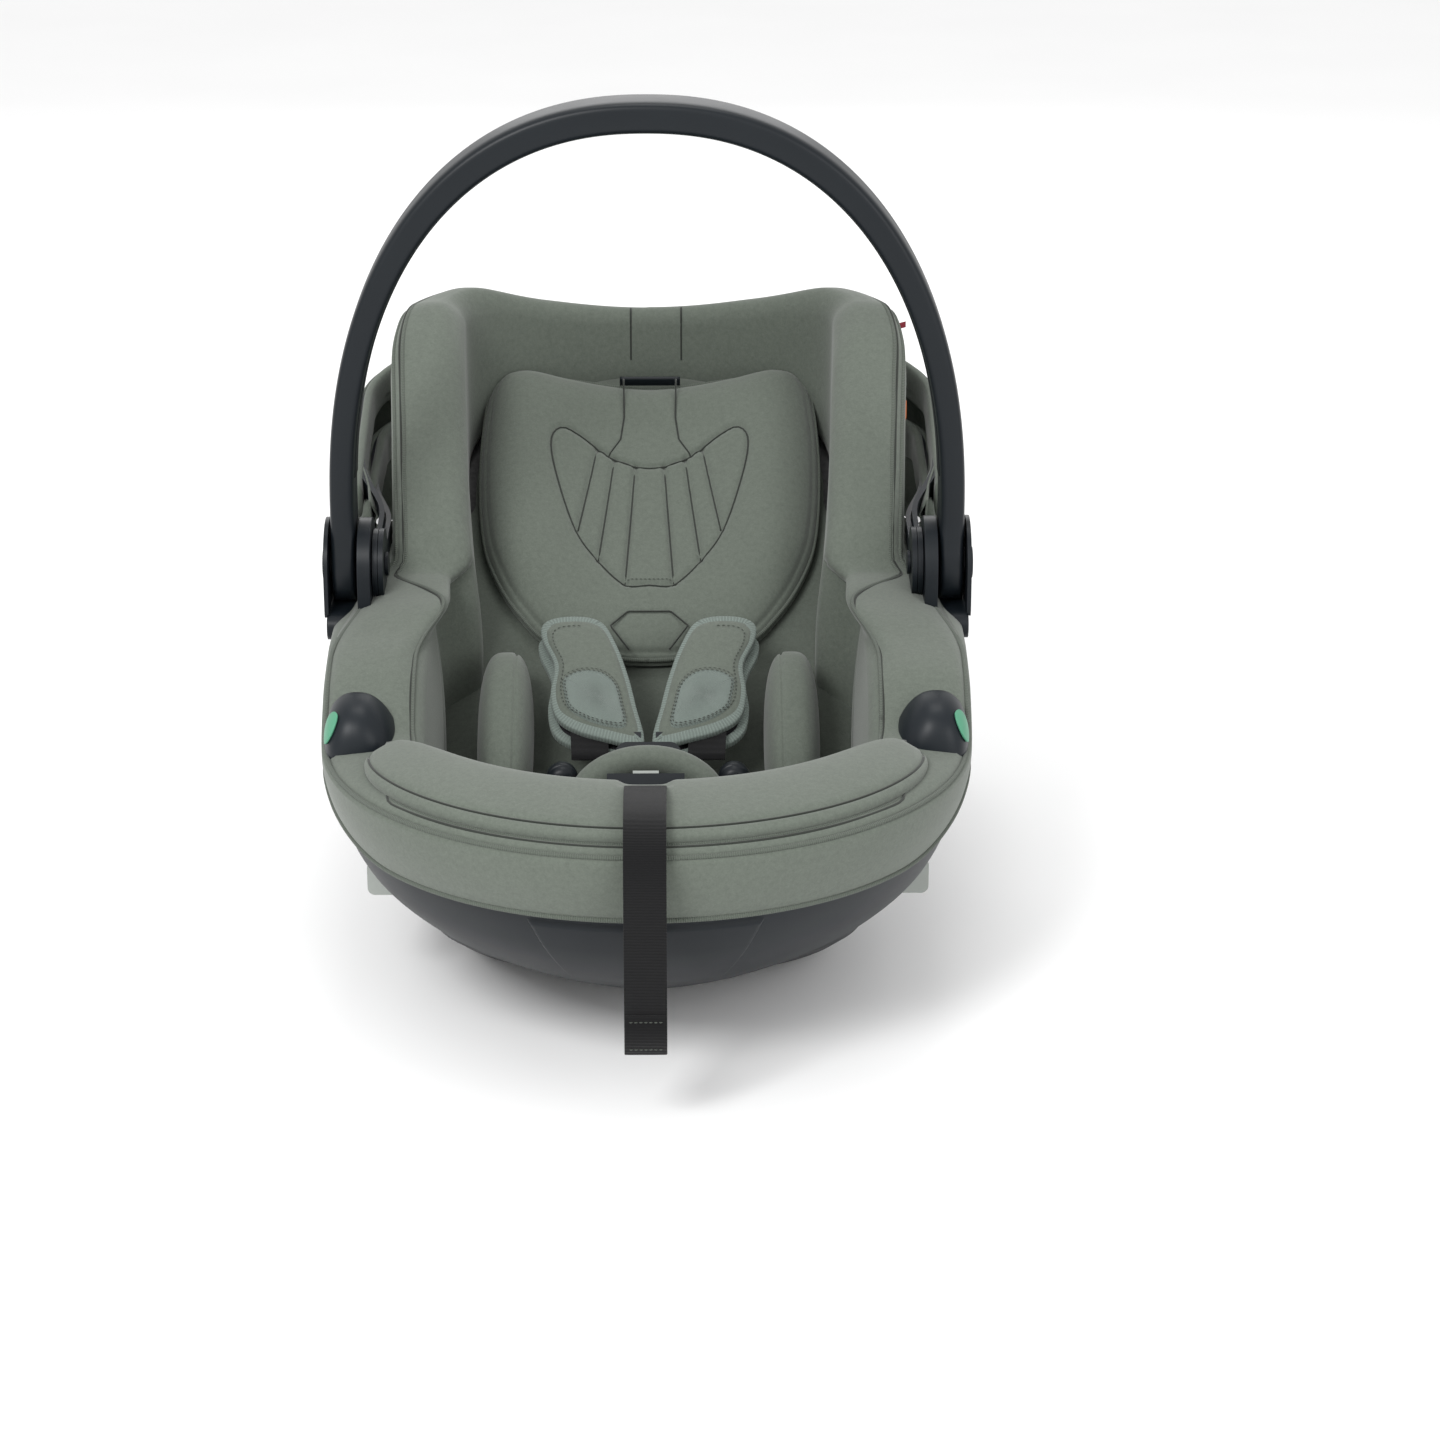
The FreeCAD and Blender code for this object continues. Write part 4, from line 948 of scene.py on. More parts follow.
def side_bolsters():
    """Slabs at the hips: a 132 by 72 mm superellipse in side view, 38 mm thick.

    Across the thickness, q = -1 to 1, its outline shrinks by (1 - |q|^3.2)^0.42, less a narrow
    seam at q = -0.35; its foot stops on the sitting surface."""
    for side, name in ((-1, "left"), (1, "right")):
        a = np.linspace(0, 2 * np.pi, 120, endpoint=False)
        outline = np.stack([66 * np.sign(np.cos(a)) * np.abs(np.cos(a)) ** 0.8,
                            36 * np.sign(np.sin(a)) * np.abs(np.sin(a)) ** 0.8], -1)
        q = np.sin(np.linspace(-np.pi / 2, np.pi / 2, 72))
        width = 19 * q
        shrink = (1 - np.abs(q) ** 3.2) ** 0.42
        seam = 1 - 0.035 * np.exp(-((q + 0.35) / 0.035) ** 2)
        grow = (shrink * seam)[None, :, None]
        plan = outline[:, None] * grow
        x = side * (97 + width[None, :]) + 0 * plan[..., 0]
        points = on_back(x, 30 + plan[..., 0], 26 + plan[..., 1])
        points[..., 2] = np.maximum(points[..., 2], floor_height(points[..., 1]) + 1.0)
        pad = surface(f"side_bolster_pad_{name}", points, wrap_u=True, look="jersey", slot="seat_fabric")
        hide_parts(f"side_bolster_{name}")


# ---------------------------------------------------------------- harness
def pad_place(side):
    """Maps across (outward from the pad's middle), along (down from its middle) and height to 3-D."""
    top, low = np.array(PAD_TOP), np.array(PAD_LOW)
    along = (low - top) / np.linalg.norm(low - top)
    middle = (top + low) / 2 + along * PAD_DROP
    normal = np.array([along[1], -along[0]])
    normal = normal if normal[1] > 0 else -normal

    def place(across, down, up):
        x = side * (38 + across - 0.05 * down)
        y = middle[0] + along[0] * down + normal[0] * up
        z = middle[1] + along[1] * down + normal[1] * up
        return np.stack(np.broadcast_arrays(x, y, z), -1)
    return place, normal


POCKET_OUTLINE = [
    (21, 3), (8, -4), (-7, -2), (-17, 9), (-20.5, 27), (-22, 47), (-9, 48), (7, 42), (18, 32), (21, 20)]
PAD_OUTLINE = [(-6, -52), (16, -57), (30, -53), (31, -38), (24, -12), (27, 14), (24, 34), (12, 46),
               (-6, 53), (-27, 57), (-31, 50), (-27, 26), (-23, 0), (-16, -30)]


def pad_bend(across, down):
    """A pad lies over the chest: its sides drop away and its ends follow the strap."""
    return -0.0035 * across ** 2 - 0.0009 * down ** 2


def shoulder_pads():
    """Two bound layers on each strap, with an elastic pocket and sewn rows on the upper one.

    Upper layer 6.5 (1 - r^8)^0.5 over its outline, lower layer 2.4 (1 - r^8)^0.5 nine under it, and
    pocket 7.4 + 1.5 (1 - r^2) with soft folds; all bend over the chest by pad_bend."""
    outline = smooth_loop(PAD_OUTLINE, 220)
    middle = outline.mean(0)
    for side, name in ((-1, "left"), (1, "right")):
        place, normal = pad_place(side)

        def on_pad(x, y, up):
            return place(x, y, up + pad_bend(x, y))

        pad = cushion(f"shoulder_pad_cloth_{name}", outline, lambda x, y, r: 6.5 * (1 - r ** 8) ** 0.5,
                      on_pad, rings=44, underside=3.0, look="jersey", slot="pad_fabric")
        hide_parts(f"shoulder_pad_{name}")
        under = middle + (outline - middle) * 0.99 + (2.5, 5.5)
        lower = cushion(f"shoulder_pad_under_{name}", under, lambda x, y, r: 2.4 * (1 - r ** 8) ** 0.5,
                        lambda x, y, up: on_pad(x, y, up - 9.0), rings=24, underside=2.0,
                        look="lining", slot="pad_fabric")
        for what, ring, drop, wide in (("binding", outline, 1.0, 3.6), ("under_binding", under, -9.0, 3.0)):
            outer = middle + (ring - middle) * 1.01
            closed = np.vstack([outer, outer[:1]])
            tangent = np.gradient(closed, axis=0)[:-1]
            tangent /= np.linalg.norm(tangent, axis=1, keepdims=True)
            inward = np.stack([tangent[:, 1], -tangent[:, 0]], -1)
            inward *= np.sign(((middle - outer) * inward).sum(1).mean())
            a, b = round_rect(wide, 2.0, 0.5, 24)
            x = outer[:, 0, None] + inward[:, 0, None] * (a[None, :] + wide - 1.4)
            y = outer[:, 1, None] + inward[:, 1, None] * (a[None, :] + wide - 1.4)
            up = b[None, :] * 1.3 + drop + pad_bend(x, y) + 0.22 * (a[None, :] + wide)
            surface(f"shoulder_pad_{what}_{name}", place(x, y, up), wrap_u=True, wrap_v=True,
                    look="binding tape", slot="pad_fabric")
        normal3 = (0, normal[0], normal[1])
        patch = smooth_loop(POCKET_OUTLINE, 160)

        def pocket_height(x, y, r):
            folds = 0.45 * np.sin(x * 0.35 - y * 0.22 + 1.0) * smooth_step(y, 12, 36)
            return (7.4 + 1.5 * (1 - r ** 2) + folds * (1 - r)) * (1 - r ** 14) ** 0.5

        pocket = cushion(f"shoulder_pad_pocket_{name}", patch, pocket_height, on_pad, rings=40,
                         look="elastic rib", slot="pad_fabric")
        centre = patch.mean(0)
        for k, share in enumerate((0.93, 0.86)):
            ring = centre + (patch - centre) * share
            line = np.array([place(x, y, 8.1 + pad_bend(x, y)) for x, y in ring])
            stitches(f"pocket_stitches_{name}_{k + 1}", line, normal3, 3.2, 2.0, 0.3, "thread")
        ring = middle + (outline - middle) * 0.80
        line = np.array([place(x, y, 6.6 + pad_bend(x, y)) for x, y in ring[10:130]])
        stitches(f"pad_stitches_{name}", line, normal3, 3.4, 2.2, 0.3, "thread")
        line = np.array([place(4, d, pad_bend(0, d) - 2.0) for d in np.linspace(-50, 68, 24)])
        strap = web_strip(f"shoulder_web_{name}", line, (1, 0, 0), HARNESS_WIDE, STRAP_THICK,
                          look="harness web", slot="webbing")
        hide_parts(f"shoulder_strap_{name}")


def in_buckle(x, up, out):
    """Frame of the buckle: across, up its face and out of it."""
    a = math.radians(62.0)
    y = -72.0 + up * math.cos(a) - out * math.sin(a)
    z = 127.0 + up * math.sin(a) + out * math.cos(a)
    return np.stack(np.broadcast_arrays(x, y, z), -1)


HOOD_LEAN = -22.0


def crotch_pieces():
    """Padded hood over the strap's exit, its inner ridge and bound edge, and the belt holders.

    A hood is an oval section swept over a half ellipse and leaned back by HOOD_LEAN; a belt holder is
    a round superellipsoid with a shallow ring pressed into its front; the crotch web is a flat strip."""
    t = np.linspace(0, np.pi, 90)
    a = np.linspace(0, 2 * np.pi, 32, endpoint=False)
    tilt = math.radians(HOOD_LEAN)
    origin = np.array([0, -150.0, 106.0])

    def lean(points):
        y, z = points[..., 1] - origin[1], points[..., 2] - origin[2]
        turned = points.copy()
        turned[..., 1] = origin[1] + y * math.cos(tilt) - z * math.sin(tilt)
        turned[..., 2] = origin[2] + y * math.sin(tilt) + z * math.cos(tilt)
        return turned

    def hood(name, radius, tall, thick_r, thick_y, y0, z0, look):
        fade = (1 - np.abs(np.cos(t)) ** 10) ** 0.5 * 0.35 + 0.65
        cx = -radius * np.cos(t)[:, None]
        cz = z0 + tall * (np.sin(t) ** 0.85)[:, None]
        c, s = np.cos(a)[None, :], np.sin(a)[None, :]
        radial = np.stack([-np.cos(t), np.sin(t)], -1)
        x = cx + radial[:, :1] * thick_r * c * fade[:, None]
        z = cz + radial[:, 1:] * thick_r * c * fade[:, None]
        y = y0 + thick_y * s + 0 * x
        points = lean(np.stack([x, y, z], -1))
        piece = surface(name, capped(points), wrap_v=True, look=look, slot="seat_fabric")
        return piece

    outer = hood("crotch_hood", 47, 41, 9.0, 10.0, -141, 124, "jersey")
    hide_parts("crotch_pad")
    hood("crotch_hood_ridge", 34, 25, 6.0, 8.0, -143, 125, "jersey")
    hood("crotch_binding", 38, 6, 2.2, 6.0, -150, 126, "binding tape")
    for side, name in ((-1, "left"), (1, "right")):
        q = np.sin(np.linspace(-np.pi / 2, np.pi / 2, 32))
        p = np.linspace(0, 2 * np.pi, 48, endpoint=False)
        shape = (1 - np.abs(q) ** 2.6) ** (1 / 2.6)
        x = side * 57 + 11 * shape[None, :] * np.cos(p)[:, None]
        y = -88 + 9 * q[None, :] + 0 * x
        z = 131 + 12 * shape[None, :] * np.sin(p)[:, None]
        dent = 1.4 * np.exp(-((q + 0.55) / 0.12) ** 2)[None, :]
        y = y + dent
        holder = surface(f"belt_holder_cap_{name}", np.stack([x, y, z], -1), wrap_u=True,
                         look="handle plastic", slot="handle_plastic")
        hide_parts(f"belt_holder_{name}")
    line = np.array([in_buckle(0, u, 0) for u in np.linspace(-56, -26, 8)])
    strap = web_strip("crotch_web", line, (1, 0, 0), HARNESS_WIDE, STRAP_THICK, look="harness web",
                      slot="webbing")
    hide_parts("crotch_strap")


# ---------------------------------------------------------------- handle and hubs
def arch_point(t, out, rise):
    """Middle line of the arch: t from 0 (left foot of the curve) to pi (right)."""
    c, s = np.cos(t), np.sin(t)
    x = -out * np.sign(c) * np.abs(c) ** (2 / HANDLE_POWER)
    z = PIVOT_Z + ARM_STRAIGHT + (rise - ARM_STRAIGHT) * np.abs(s) ** (2 / HANDLE_POWER)
    return x, z


def handle():
    """Arch of rounded section with rounded ends, and a softer grip along its inner face.

    The middle line is arch_point's superellipse on two straight arms; the section is a rounded
    rectangle whose width follows a circle of radius END_R below the pivot."""
    t = np.linspace(0, np.pi, 181)
    out_x, out_z = arch_point(t, HANDLE_OUT, HANDLE_RISE)
    in_x, in_z = arch_point(t, HANDLE_OUT - ARM_THICK, HANDLE_RISE - HANDLE_THICK)
    arm = PIVOT_Z + np.array([-END_R, -24.2, -21.5, -17, -11, 0, 12, 24, 34])
    low = np.clip((PIVOT_Z - arm) / END_R, 0, 1)
    round_half = END_R * np.sqrt(np.clip(1 - low ** 2, 0.0005, 1))
    blend = smooth_step(arm, PIVOT_Z - 2, PIVOT_Z + 30)
    width = round_half * (1 - blend) + HANDLE_WIDE / 2 * blend

    def join(left_x, arch_x, arch_z):
        x = np.concatenate([np.full(arm.size, -left_x), arch_x[1:-1], np.full(arm.size, left_x)])
        z = np.concatenate([arm, arch_z[1:-1], arm[::-1]])
        return x, z

    ox, oz = join(HANDLE_OUT, out_x, out_z)
    ix, iz = join(HANDLE_OUT - ARM_THICK, in_x, in_z)
    wide = np.concatenate([width, np.full(t.size - 2, HANDLE_WIDE / 2), width[::-1]])
    a, b = round_rect(1.0, 1.0, 0.42, 48)
    mid_x, mid_z = (ox + ix) / 2, (oz + iz) / 2
    half_x, half_z = (ox - ix) / 2, (oz - iz) / 2
    x = mid_x[:, None] + half_x[:, None] * a[None, :]
    z = mid_z[:, None] + half_z[:, None] * a[None, :]
    y = PIVOT_Y + wide[:, None] * b[None, :]
    bow = surface("handle_arch", capped(np.stack([x, y, z], -1)), wrap_v=True, ride="handle",
                  look="handle plastic", slot="handle_plastic")
    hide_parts("handle_bow")
    keep = (oz > PIVOT_Z + 62)
    half = HANDLE_WIDE / 2 - 6.5
    a, b = round_rect(half, 2.4, 0.5, 36)
    normal = np.stack([half_x, half_z], -1)
    normal /= np.linalg.norm(normal, axis=1, keepdims=True) + 1e-9
    face = np.stack([ix, iz], -1)[keep] + normal[keep] * 1.7
    gx = face[:, 0, None] - normal[keep][:, 0, None] * b[None, :]
    gz = face[:, 1, None] - normal[keep][:, 1, None] * b[None, :]
    gy = PIVOT_Y + a[None, :] + 0 * gx
    grip = surface("handle_grip", capped(np.stack([gx, gy, gz], -1)), wrap_v=True, ride="handle",
                   look="handle grip", slot="handle_plastic")
    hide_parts("handle_inner_trim")


def bean(name, x0, x1, outline, bulge, **about):
    """Thick plate across X over a (y, z) outline, from x0 to x1 as q goes from 0.32 to 0.68.

    The outline opens by min(1, sin(pi q) / 0.45)^0.45, so the edges are round."""
    middle = outline.mean(0)
    q = np.linspace(0, 1, 40)
    ring = np.sin(np.pi * q)
    edge = np.minimum(1, (np.abs(ring) / 0.45)) ** 0.45
    lean = np.clip((q - 0.32) / 0.36, 0, 1)
    x = x0 + (x1 - x0) * lean
    x = x + (bulge * (1 - edge) * np.where(q < 0.5, -1, 1)) * np.sign(x1 - x0)
    plan = middle + (outline[:, None] - middle) * edge[None, :, None]
    points = np.stack([np.broadcast_to(x[None, :], plan.shape[:2]), plan[..., 0], plan[..., 1]], -1)
    return surface(name, points, wrap_u=True, **about)


def hub_outline(radius, low, count=96):
    """Round top about the pivot on straight sides down to a level."""
    a = np.linspace(0, np.pi, count // 2)
    top = np.stack([PIVOT_Y + radius * np.cos(a), PIVOT_Z + radius * np.sin(a)], -1)
    y = np.linspace(PIVOT_Y - radius, PIVOT_Y + radius, count // 2)[1:-1]
    drop = np.stack([y, low + 0 * y], -1)
    left = np.stack([np.full(8, PIVOT_Y - radius), np.linspace(PIVOT_Z, low, 10)[1:-1]], -1)
    right = np.stack([np.full(8, PIVOT_Y + radius), np.linspace(low, PIVOT_Z, 10)[1:-1]], -1)
    return np.concatenate([top, left, drop, right])


BUTTON_R = 10.6


def hubs():
    """Inner cheek, thin outer flank and the web that joins them under the handle's end."""
    for side, name in ((-1, "left"), (1, "right")):
        outline = hub_outline(31.5, 222)
        cheek = bean(f"hub_cheek_{name}", side * 185.6, side * 194.2, outline, 1.2,
                     look="handle plastic", slot="handle_plastic")
        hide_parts(f"hub_housing_{name}")
        bean(f"hub_flank_{name}", side * 213.8, side * 216.6, hub_outline(32.0, 222), 0.6,
             look="handle plastic", slot="handle_plastic")
        web = [(PIVOT_Y - 29, 206), (PIVOT_Y + 29, 206), (PIVOT_Y + 29, 224), (PIVOT_Y - 29, 224)]
        bean(f"hub_web_{name}", side * 188, side * 215, smooth_loop(web, 60), 0.4,
             look="handle plastic", slot="handle_plastic")
        a = np.linspace(0, 2 * np.pi, 48, endpoint=False)
        cap = np.stack([PIVOT_Y + BUTTON_R * np.cos(a), PIVOT_Z + BUTTON_R * np.sin(a)], -1)
        button = bean(f"handle_button_cap_{name}", side * 210.5, side * 219.0, cap, 0.4,
                      ride=f"handle_button_{name}", look="handle plastic", slot="handle_plastic")
        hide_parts(f"handle_button_{name}")


def guide_shape(side, p, q, lift=0.0):
    """Hood over the rim: upright outside, slanting inside, closing to the front.

    x = 186 - w g cos p with w 29 inside and 21 outside, z = 163 + 51 g sin(p)^e, g = sin(pi q / 2)^0.55."""
    c, up = np.cos(p), np.abs(np.sin(np.clip(p, 0, np.pi)))
    g = np.sin(np.pi / 2 * q) ** 0.55
    wide = np.where(c > 0, 29.0, 21.0) + lift
    power = 0.55 + 0.35 * smooth_step(c, -0.2, 0.5)
    x = side * (186 - wide * g * np.sign(c) * np.abs(c) ** 0.9)
    z = 163 + (51 + lift) * g * up ** power
    y = -158 - (26 + lift) * np.cos(np.pi / 2 * q) + 11 * q ** 3
    return np.stack(np.broadcast_arrays(x, y, z), -1)


def belt_guides():
    """Hooded guides on the rim, each a guide_shape shell, and the green insert on its outer face."""
    for side, name in ((-1, "left"), (1, "right")):
        p = np.linspace(0, np.pi, 80)[:, None]
        q = np.linspace(0, 1, 44)[None, :]
        points = guide_shape(side, p, q)
        inside = (side * 184, -150, 170)
        guide = surface(f"belt_guide_hood_{name}", points, look="guide plastic", slot="guide_plastic",
                        thick=3.0, out_from=inside)
        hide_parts(f"belt_guide_{name}")
        p = np.linspace(0.66, 0.90, 24)[:, None] * np.pi
        half = 0.5 * (np.clip(1 - ((p / np.pi - 0.78) / 0.121) ** 2, 0, 1)) ** 0.6
        q = 0.62 + 0.30 * half * np.linspace(-1, 1, 14)[None, :]
        mark = surface(f"belt_marker_inlay_{name}", guide_shape(side, p, q, 1.5), look="marker green",
                       slot="guide_plastic", thick=1.2, out_from=inside)
        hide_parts(f"belt_marker_{name}")


# ---------------------------------------------------------------- canopy
def head_ring(s, side, back, head_round, from_y=51.0):
    """U-shaped line round the head end: s from 0 (left front) to 1 (right front)."""
    length = back - head_round
    straight = np.maximum(length - from_y, 1.0)
    arc = np.pi / 2 * np.sqrt((side ** 2 + head_round ** 2) / 2)
    share = straight / (2 * straight + 2 * arc)
    left = s < share
    right = s > 1 - share
    b = (s - share) / (1 - 2 * share) * np.pi
    x = np.where(left, -side, np.where(right, side, -side * np.cos(b)))
    y = np.where(left, from_y + straight * s / share,
                 np.where(right, from_y + straight * (1 - s) / share, length + head_round * np.sin(b)))
    return x, y


def bow_frame(angle, x, u, n):
    """Point in a canopy bow's plane: across, out from the pivot line and square to the plane."""
    y = PIVOT_Y + u * math.cos(angle) - n * math.sin(angle)
    z = PIVOT_Z + u * math.sin(angle) + n * math.cos(angle)
    return np.stack(np.broadcast_arrays(x, y, z), -1)


RING = np.linspace(0, 1, 260)


def pleat(s, amount, count, phase):
    """Soft uneven gathers along a fabric edge."""
    turn = 2 * np.pi * count * s
    return amount * (np.sin(turn + phase) + 0.5 * np.sin(2.3 * turn + 1.7 * phase))


def canopy_skirt():
    """Fixed part of the canopy: a band round the head end, q = 0 at its lower edge to 1 at its top.

    It bulges by 4 sin(pi q^0.8) with seven soft gathers, and tucks in by 6 at its lower edge."""
    s = RING[:, None]
    q = np.linspace(0, 1, 30)[None, :]
    bulge = 4.0 * np.sin(np.pi * q ** 0.8)
    side = 214 + bulge
    back = 334 + bulge
    x, y = head_ring(s + 0 * q, side + pleat(s, 0.8, 7, 0.4) * np.sin(np.pi * q), back, 150.0)
    top = PIVOT_Z + (y - PIVOT_Y) * math.tan(MID_ANGLE) - 12
    low = 206.0 + 6 * smooth_step(y, 100, 330)
    z = low + (top - low) * q
    tuck = smooth_step(1 - q, 0.86, 1.0) * 6
    x, y = x * (1 - tuck / 220), y - tuck * (y > 200) * 0.7
    skirt = surface("canopy_skirt", np.stack([x, y, z], -1), look="jersey", slot="seat_fabric", thick=1.5,
                    out_from=(0, 100, 240))
    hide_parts("canopy_fabric")


LOBE_RUN_IN = 16.0      # clears the handle's arms beside the hinges


def canopy_lobe(name, angle0, angle1, side0, side1, drop, phase):
    """Folded panel between two bows: it hangs outside the lower one in a lobe and climbs to the upper one.

    q = 0 to 0.40 hangs by drop sin, 0.40 to 0.86 climbs by a smooth step, and the rest tucks over the
    upper bow; it swells outward by 7 sin(pi q)^0.8, with gathers, and runs in beside the hinges."""
    s = RING[:, None]
    q = np.linspace(0, 1, 56)[None, :]
    reach0, reach1 = side0[1], side1[1]
    fold = 0.40
    down = np.clip(q / fold, 0, 1)
    climb = np.clip((q - fold) / (0.86 - fold), 0, 1)
    over = np.clip((q - 0.86) / 0.14, 0, 1)
    hang = drop + pleat(s, 2.5, 5, phase)
    swell = 7.0 * np.sin(np.pi * np.clip(q / 0.86, 0, 1)) ** 0.8 + pleat(s, 0.7, 9, phase) * np.sin(np.pi * q)
    n0 = 4 - hang * np.sin(np.pi / 2 * down)
    ends = smooth_step(np.minimum(s, 1 - s), 0.0, 0.10) * 0.65 + 0.35
    half = side0[0] + (side1[0] - side0[0]) * climb + 2.5 + swell * ends
    reach = reach0 + (reach1 - reach0) * climb + 2.5 + swell
    half = half - over * 7.0 - LOBE_RUN_IN * (1 - smooth_step(np.minimum(s, 1 - s), 0.0, 0.12))
    reach = reach - over * 7.0
    u_x, u = head_ring(s + 0 * q, half, reach, reach - 205.0, 68.0)
    low = bow_frame(angle0, u_x, u, n0)
    high = bow_frame(angle1, u_x, u, 9.0 + 1.5 * np.sin(np.pi * over) - 15.0 * over)
    base = bow_frame(angle0, u_x, u, 4 - hang)
    blend_up = smooth_step(climb, 0, 1)[..., None]
    points = np.where((q <= fold)[..., None], low, base * (1 - blend_up) + high * blend_up)
    lobe = surface(name, points, look="jersey", slot="seat_fabric", thick=1.2, ride=None,
                   out_from=(0, 60, 180))
    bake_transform(lobe)
    return lobe, points


def bow_sleeve(name, angle, half, reach, body):
    """Fabric channel sewn round a bow: a soft flat section that hangs a little below it."""
    side_u = np.linspace(86, 215, 30)[:-1]
    turn = np.linspace(0, np.pi, 90)
    x = np.concatenate([np.full(29, -half), -half * np.cos(turn), np.full(29, half)])
    u = np.concatenate([side_u, 215 + (reach - 215) * np.sin(turn), side_u[::-1]])
    path = np.stack([x, u], -1)
    tangent = np.gradient(path, axis=0)
    tangent /= np.linalg.norm(tangent, axis=1, keepdims=True)
    across = np.stack([tangent[:, 1], -tangent[:, 0]], -1)
    a, b = round_rect(3.9, 13.0, 0.8, 32)
    px = path[:, :1] + across[:, :1] * a[None, :]
    pu = path[:, 1:] + across[:, 1:] * a[None, :]
    wave = pleat(np.linspace(0, 1, len(path))[:, None], 0.8, 9, 0.3)
    points = bow_frame(angle, px, pu, b[None, :] - 2.5 + wave * (b[None, :] < 0))
    surface(name, capped(points), wrap_v=True, look="jersey", slot="seat_fabric", ride=body)


def mesh_area(points):
    """Area of a grid of points in square metres."""
    a = np.cross(points[1:, :-1] - points[:-1, :-1], points[:-1, 1:] - points[:-1, :-1])
    return float(np.linalg.norm(a, axis=2).sum() * MM * MM)


def canopy(sizes):
    """Skirt, two folded panels that follow the bows, and the bows' sleeves."""
    canopy_skirt()
    drop = sizes.lobe_drop / MM
    low, low_points = canopy_lobe(
        "canopy_panel_rear", MID_ANGLE - math.radians(7), MID_ANGLE, (213, 331), (198, 331), drop * 0.55,
        0.9)
    top, top_points = canopy_lobe(
        "canopy_panel_front", MID_ANGLE, FRONT_ANGLE, (200, 333), (206, 338), drop * 0.8,
        2.1)
    bow_sleeve("canopy_sleeve_mid", MID_ANGLE, 194.5, 327.5, "canopy_mid_bow")
    bow_sleeve("canopy_sleeve_front", FRONT_ANGLE, 202.5, 334.5, "canopy_front_bow")
    for lobe, points in ((low, low_points), (top, top_points)):
        area = mesh_area(points)


# ---------------------------------------------------------------- shell
FLOOR_Z = 25.0


def shell_parts():
    """Moulded tub under the cover, down to its floor, and the raised panel at the foot end.

    The tub is its own plan at each height from FLOOR_Z to the hem, closed to a middle point. The
    panel lies on the foot arc, 108 mm wide below and 144 mm above, proud by up to 2.7 with soft edges."""
    t = TURNS[:, None]
    q = np.linspace(0, 1, 40)[None, :]
    top = on_level(t, np.full_like(t, 16.0), hem_height, side=0.0)[..., 2]
    z = FLOOR_Z + (top - FLOOR_Z) * q
    x, y = tub_plan(t, z, 0.0)
    points = np.stack([x, y, z], -1)
    middle = np.zeros_like(points[:, :1]) + (0, -44, FLOOR_Z)
    points = np.concatenate([middle, points[:, :1] * (0.5, 0.5, 1) + (0, -22, 0), points], 1)
    shell = surface("shell_tub", points, wrap_u=True, look="shell plastic", slot="shell_plastic", thick=2.5,
                    out_from=(0, -20, 120))
    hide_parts("seat_shell")
    u = np.linspace(-1, 1, 120)[:, None]
    v = np.linspace(0, 1, 50)[None, :]
    zz = 52 + 72 * v
    half = 54 + 18 * v
    turn = 0.15 - np.arcsin(np.clip(u * half / 190, -1, 1)) / np.pi * 0.3
    edge = np.minimum(smooth_step(1 - np.abs(u), 0, 0.05), smooth_step(np.minimum(v, 1 - v), 0, 0.07))
    px, py = tub_plan(turn, zz, -0.5 + 3.2 * edge)
    panel = surface("foot_panel", np.stack([px, py, zz + 0 * px], -1), look="shell plastic",
                    slot="shell_plastic", out_from=(0, 0, 90))
    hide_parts("front_panel")


def tags():
    """Small flat tags sewn in at the border's outer seam, each a thin leaning rectangle."""
    for name, look, x, y, z, wide, tall, turn in (
            ("side_tag_orange", "tag orange", 181, 148, 318, 1.0, 12, 0.1),
            ("side_tag_wine", "tag wine", 178, 196, 367, 9.0, 4, 0.1),
            ("side_tag_grey", "tag grey", -208, -40, 205, 1.4, 12, 0.0)):
        u = np.linspace(-0.5, 0.5, 8)[:, None]
        v = np.linspace(-0.5, 0.5, 8)[None, :]
        points = np.stack([x + wide * u + 0 * v, y + 9 * (u + turn * v), z + tall * v + 0 * u], -1)
        surface(name, points, look=look, slot="pad_fabric", thick=0.6, out_from=(0, 0, z))


# ---------------------------------------------------------------- operators
def sizes():
    """The scene's sewn sizes."""
    return bpy.context.scene.seat_sizes


class CARSEAT_OT_stage(bpy.types.Operator):
    """Camera, lights and floor."""
    bl_idname = "carseat.stage"
    bl_label = "Stage"

    def execute(self, context):
        place_camera()
        light_stage()
        return {"FINISHED"}


class CARSEAT_OT_finishes(bpy.types.Operator):
    """Materials, and the finish of each moulded node that stays in view."""
    bl_idname = "carseat.finishes"
    bl_label = "Finishes"

    def execute(self, context):
        make_looks(context.scene.seat_colours)
        dress_nodes()
        return {"FINISHED"}


class CARSEAT_OT_strap(bpy.types.Operator):
    """Free end of the adjuster strap."""
    bl_idname = "carseat.strap"
    bl_label = "Adjuster strap"

    def execute(self, context):
        adjuster_strap()
        return {"FINISHED"}


class CARSEAT_OT_cover(bpy.types.Operator):
    """Cover flank, padded border and inner lining."""
    bl_idname = "carseat.cover"
    bl_label = "Cover"

    def execute(self, context):
        cover_side()
        border_band(sizes())
        tags()
        return {"FINISHED"}


class CARSEAT_OT_pads(bpy.types.Operator):
    """Seat insert, foot cushion and hip bolsters."""
    bl_idname = "carseat.pads"
    bl_label = "Pads"

    def execute(self, context):
        seat_pad(sizes())
        foot_cushion(sizes())
        side_bolsters()
        return {"FINISHED"}


class CARSEAT_OT_headrest(bpy.types.Operator):
    """Headrest cushion with its sewn butterfly."""
    bl_idname = "carseat.headrest"
    bl_label = "Headrest"

    def execute(self, context):
        headrest(sizes())
        return {"FINISHED"}


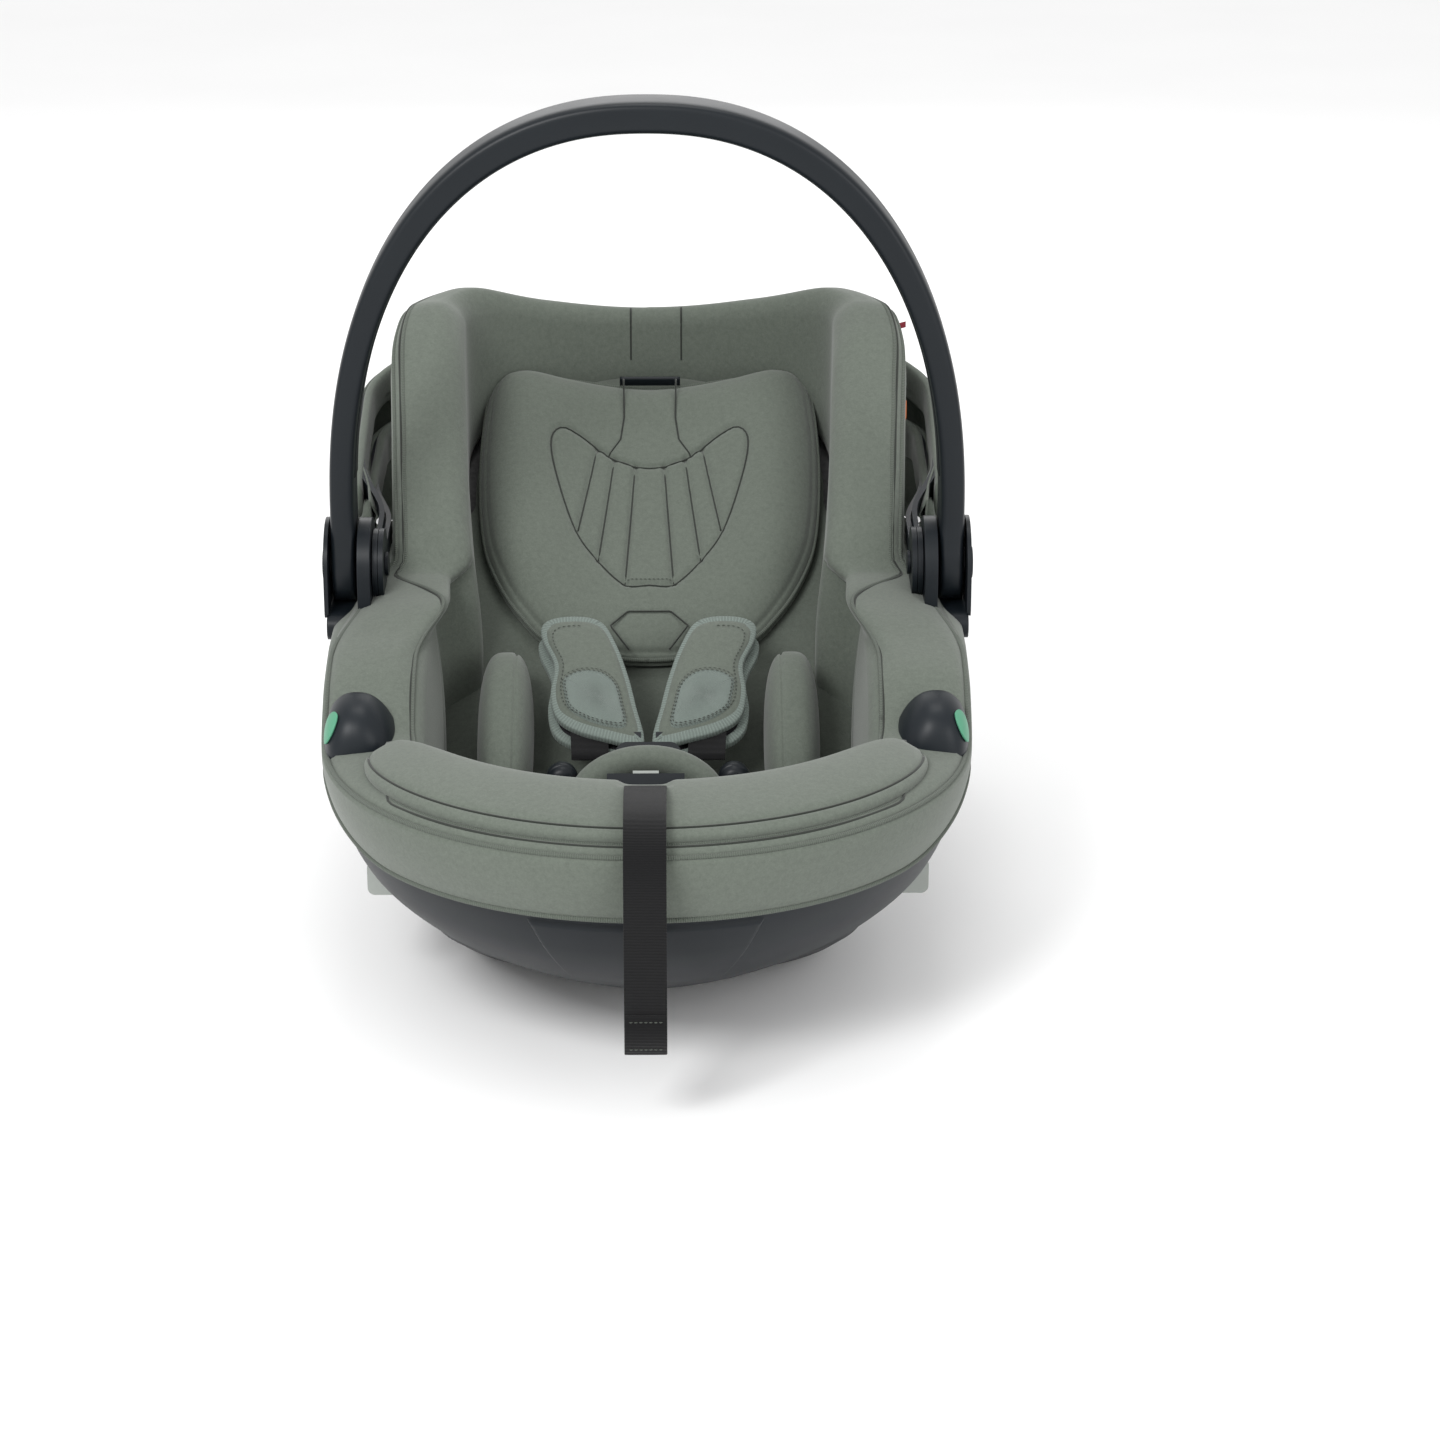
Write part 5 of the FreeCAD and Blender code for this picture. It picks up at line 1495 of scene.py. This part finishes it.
class CARSEAT_OT_harness(bpy.types.Operator):
    """Shoulder pads, webbing, crotch hood and belt holders."""
    bl_idname = "carseat.harness"
    bl_label = "Harness"

    def execute(self, context):
        shoulder_pads()
        crotch_pieces()
        return {"FINISHED"}


class CARSEAT_OT_handle(bpy.types.Operator):
    """Carrying handle, its hubs and the belt guides."""
    bl_idname = "carseat.handle"
    bl_label = "Handle"

    def execute(self, context):
        handle()
        hubs()
        belt_guides()
        return {"FINISHED"}


class CARSEAT_OT_canopy(bpy.types.Operator):
    """Folded canopy round the head end."""
    bl_idname = "carseat.canopy"
    bl_label = "Canopy"

    def execute(self, context):
        canopy(sizes())
        return {"FINISHED"}


class CARSEAT_OT_shell(bpy.types.Operator):
    """Moulded tub and foot panel."""
    bl_idname = "carseat.shell"
    bl_label = "Shell"

    def execute(self, context):
        shell_parts()
        return {"FINISHED"}


OPERATORS = [
    CARSEAT_OT_stage, CARSEAT_OT_finishes, CARSEAT_OT_strap, CARSEAT_OT_cover, CARSEAT_OT_pads,
    CARSEAT_OT_headrest, CARSEAT_OT_harness, CARSEAT_OT_handle, CARSEAT_OT_canopy, CARSEAT_OT_shell]


class CARSEAT_PT_panel(bpy.types.Panel):
    """Sizes, colours and the steps that build the seat."""
    bl_idname = "CARSEAT_PT_panel"
    bl_label = "Car Seat"
    bl_space_type = "VIEW_3D"
    bl_region_type = "UI"
    bl_category = "Car Seat"

    def draw(self, context):
        for group in (context.scene.seat_sizes, context.scene.seat_colours):
            for name in group.__annotations__:
                self.layout.prop(group, name)
        for operator in OPERATORS:
            self.layout.operator(operator.bl_idname)


CLASSES = [SeatSizes, SeatColours, *OPERATORS, CARSEAT_PT_panel]


def register():
    for cls in CLASSES:
        bpy.utils.register_class(cls)
    bpy.types.Scene.seat_sizes = PointerProperty(type=SeatSizes)
    bpy.types.Scene.seat_colours = PointerProperty(type=SeatColours)


def unregister():
    del bpy.types.Scene.seat_colours
    del bpy.types.Scene.seat_sizes
    for cls in reversed(CLASSES):
        bpy.utils.unregister_class(cls)


def main():
    register()
    for operator in OPERATORS:
        family, action = operator.bl_idname.split(".")
        getattr(getattr(bpy.ops, family), action)()
    bpy.context.view_layer.update()


if __name__ == "__main__":
    main()
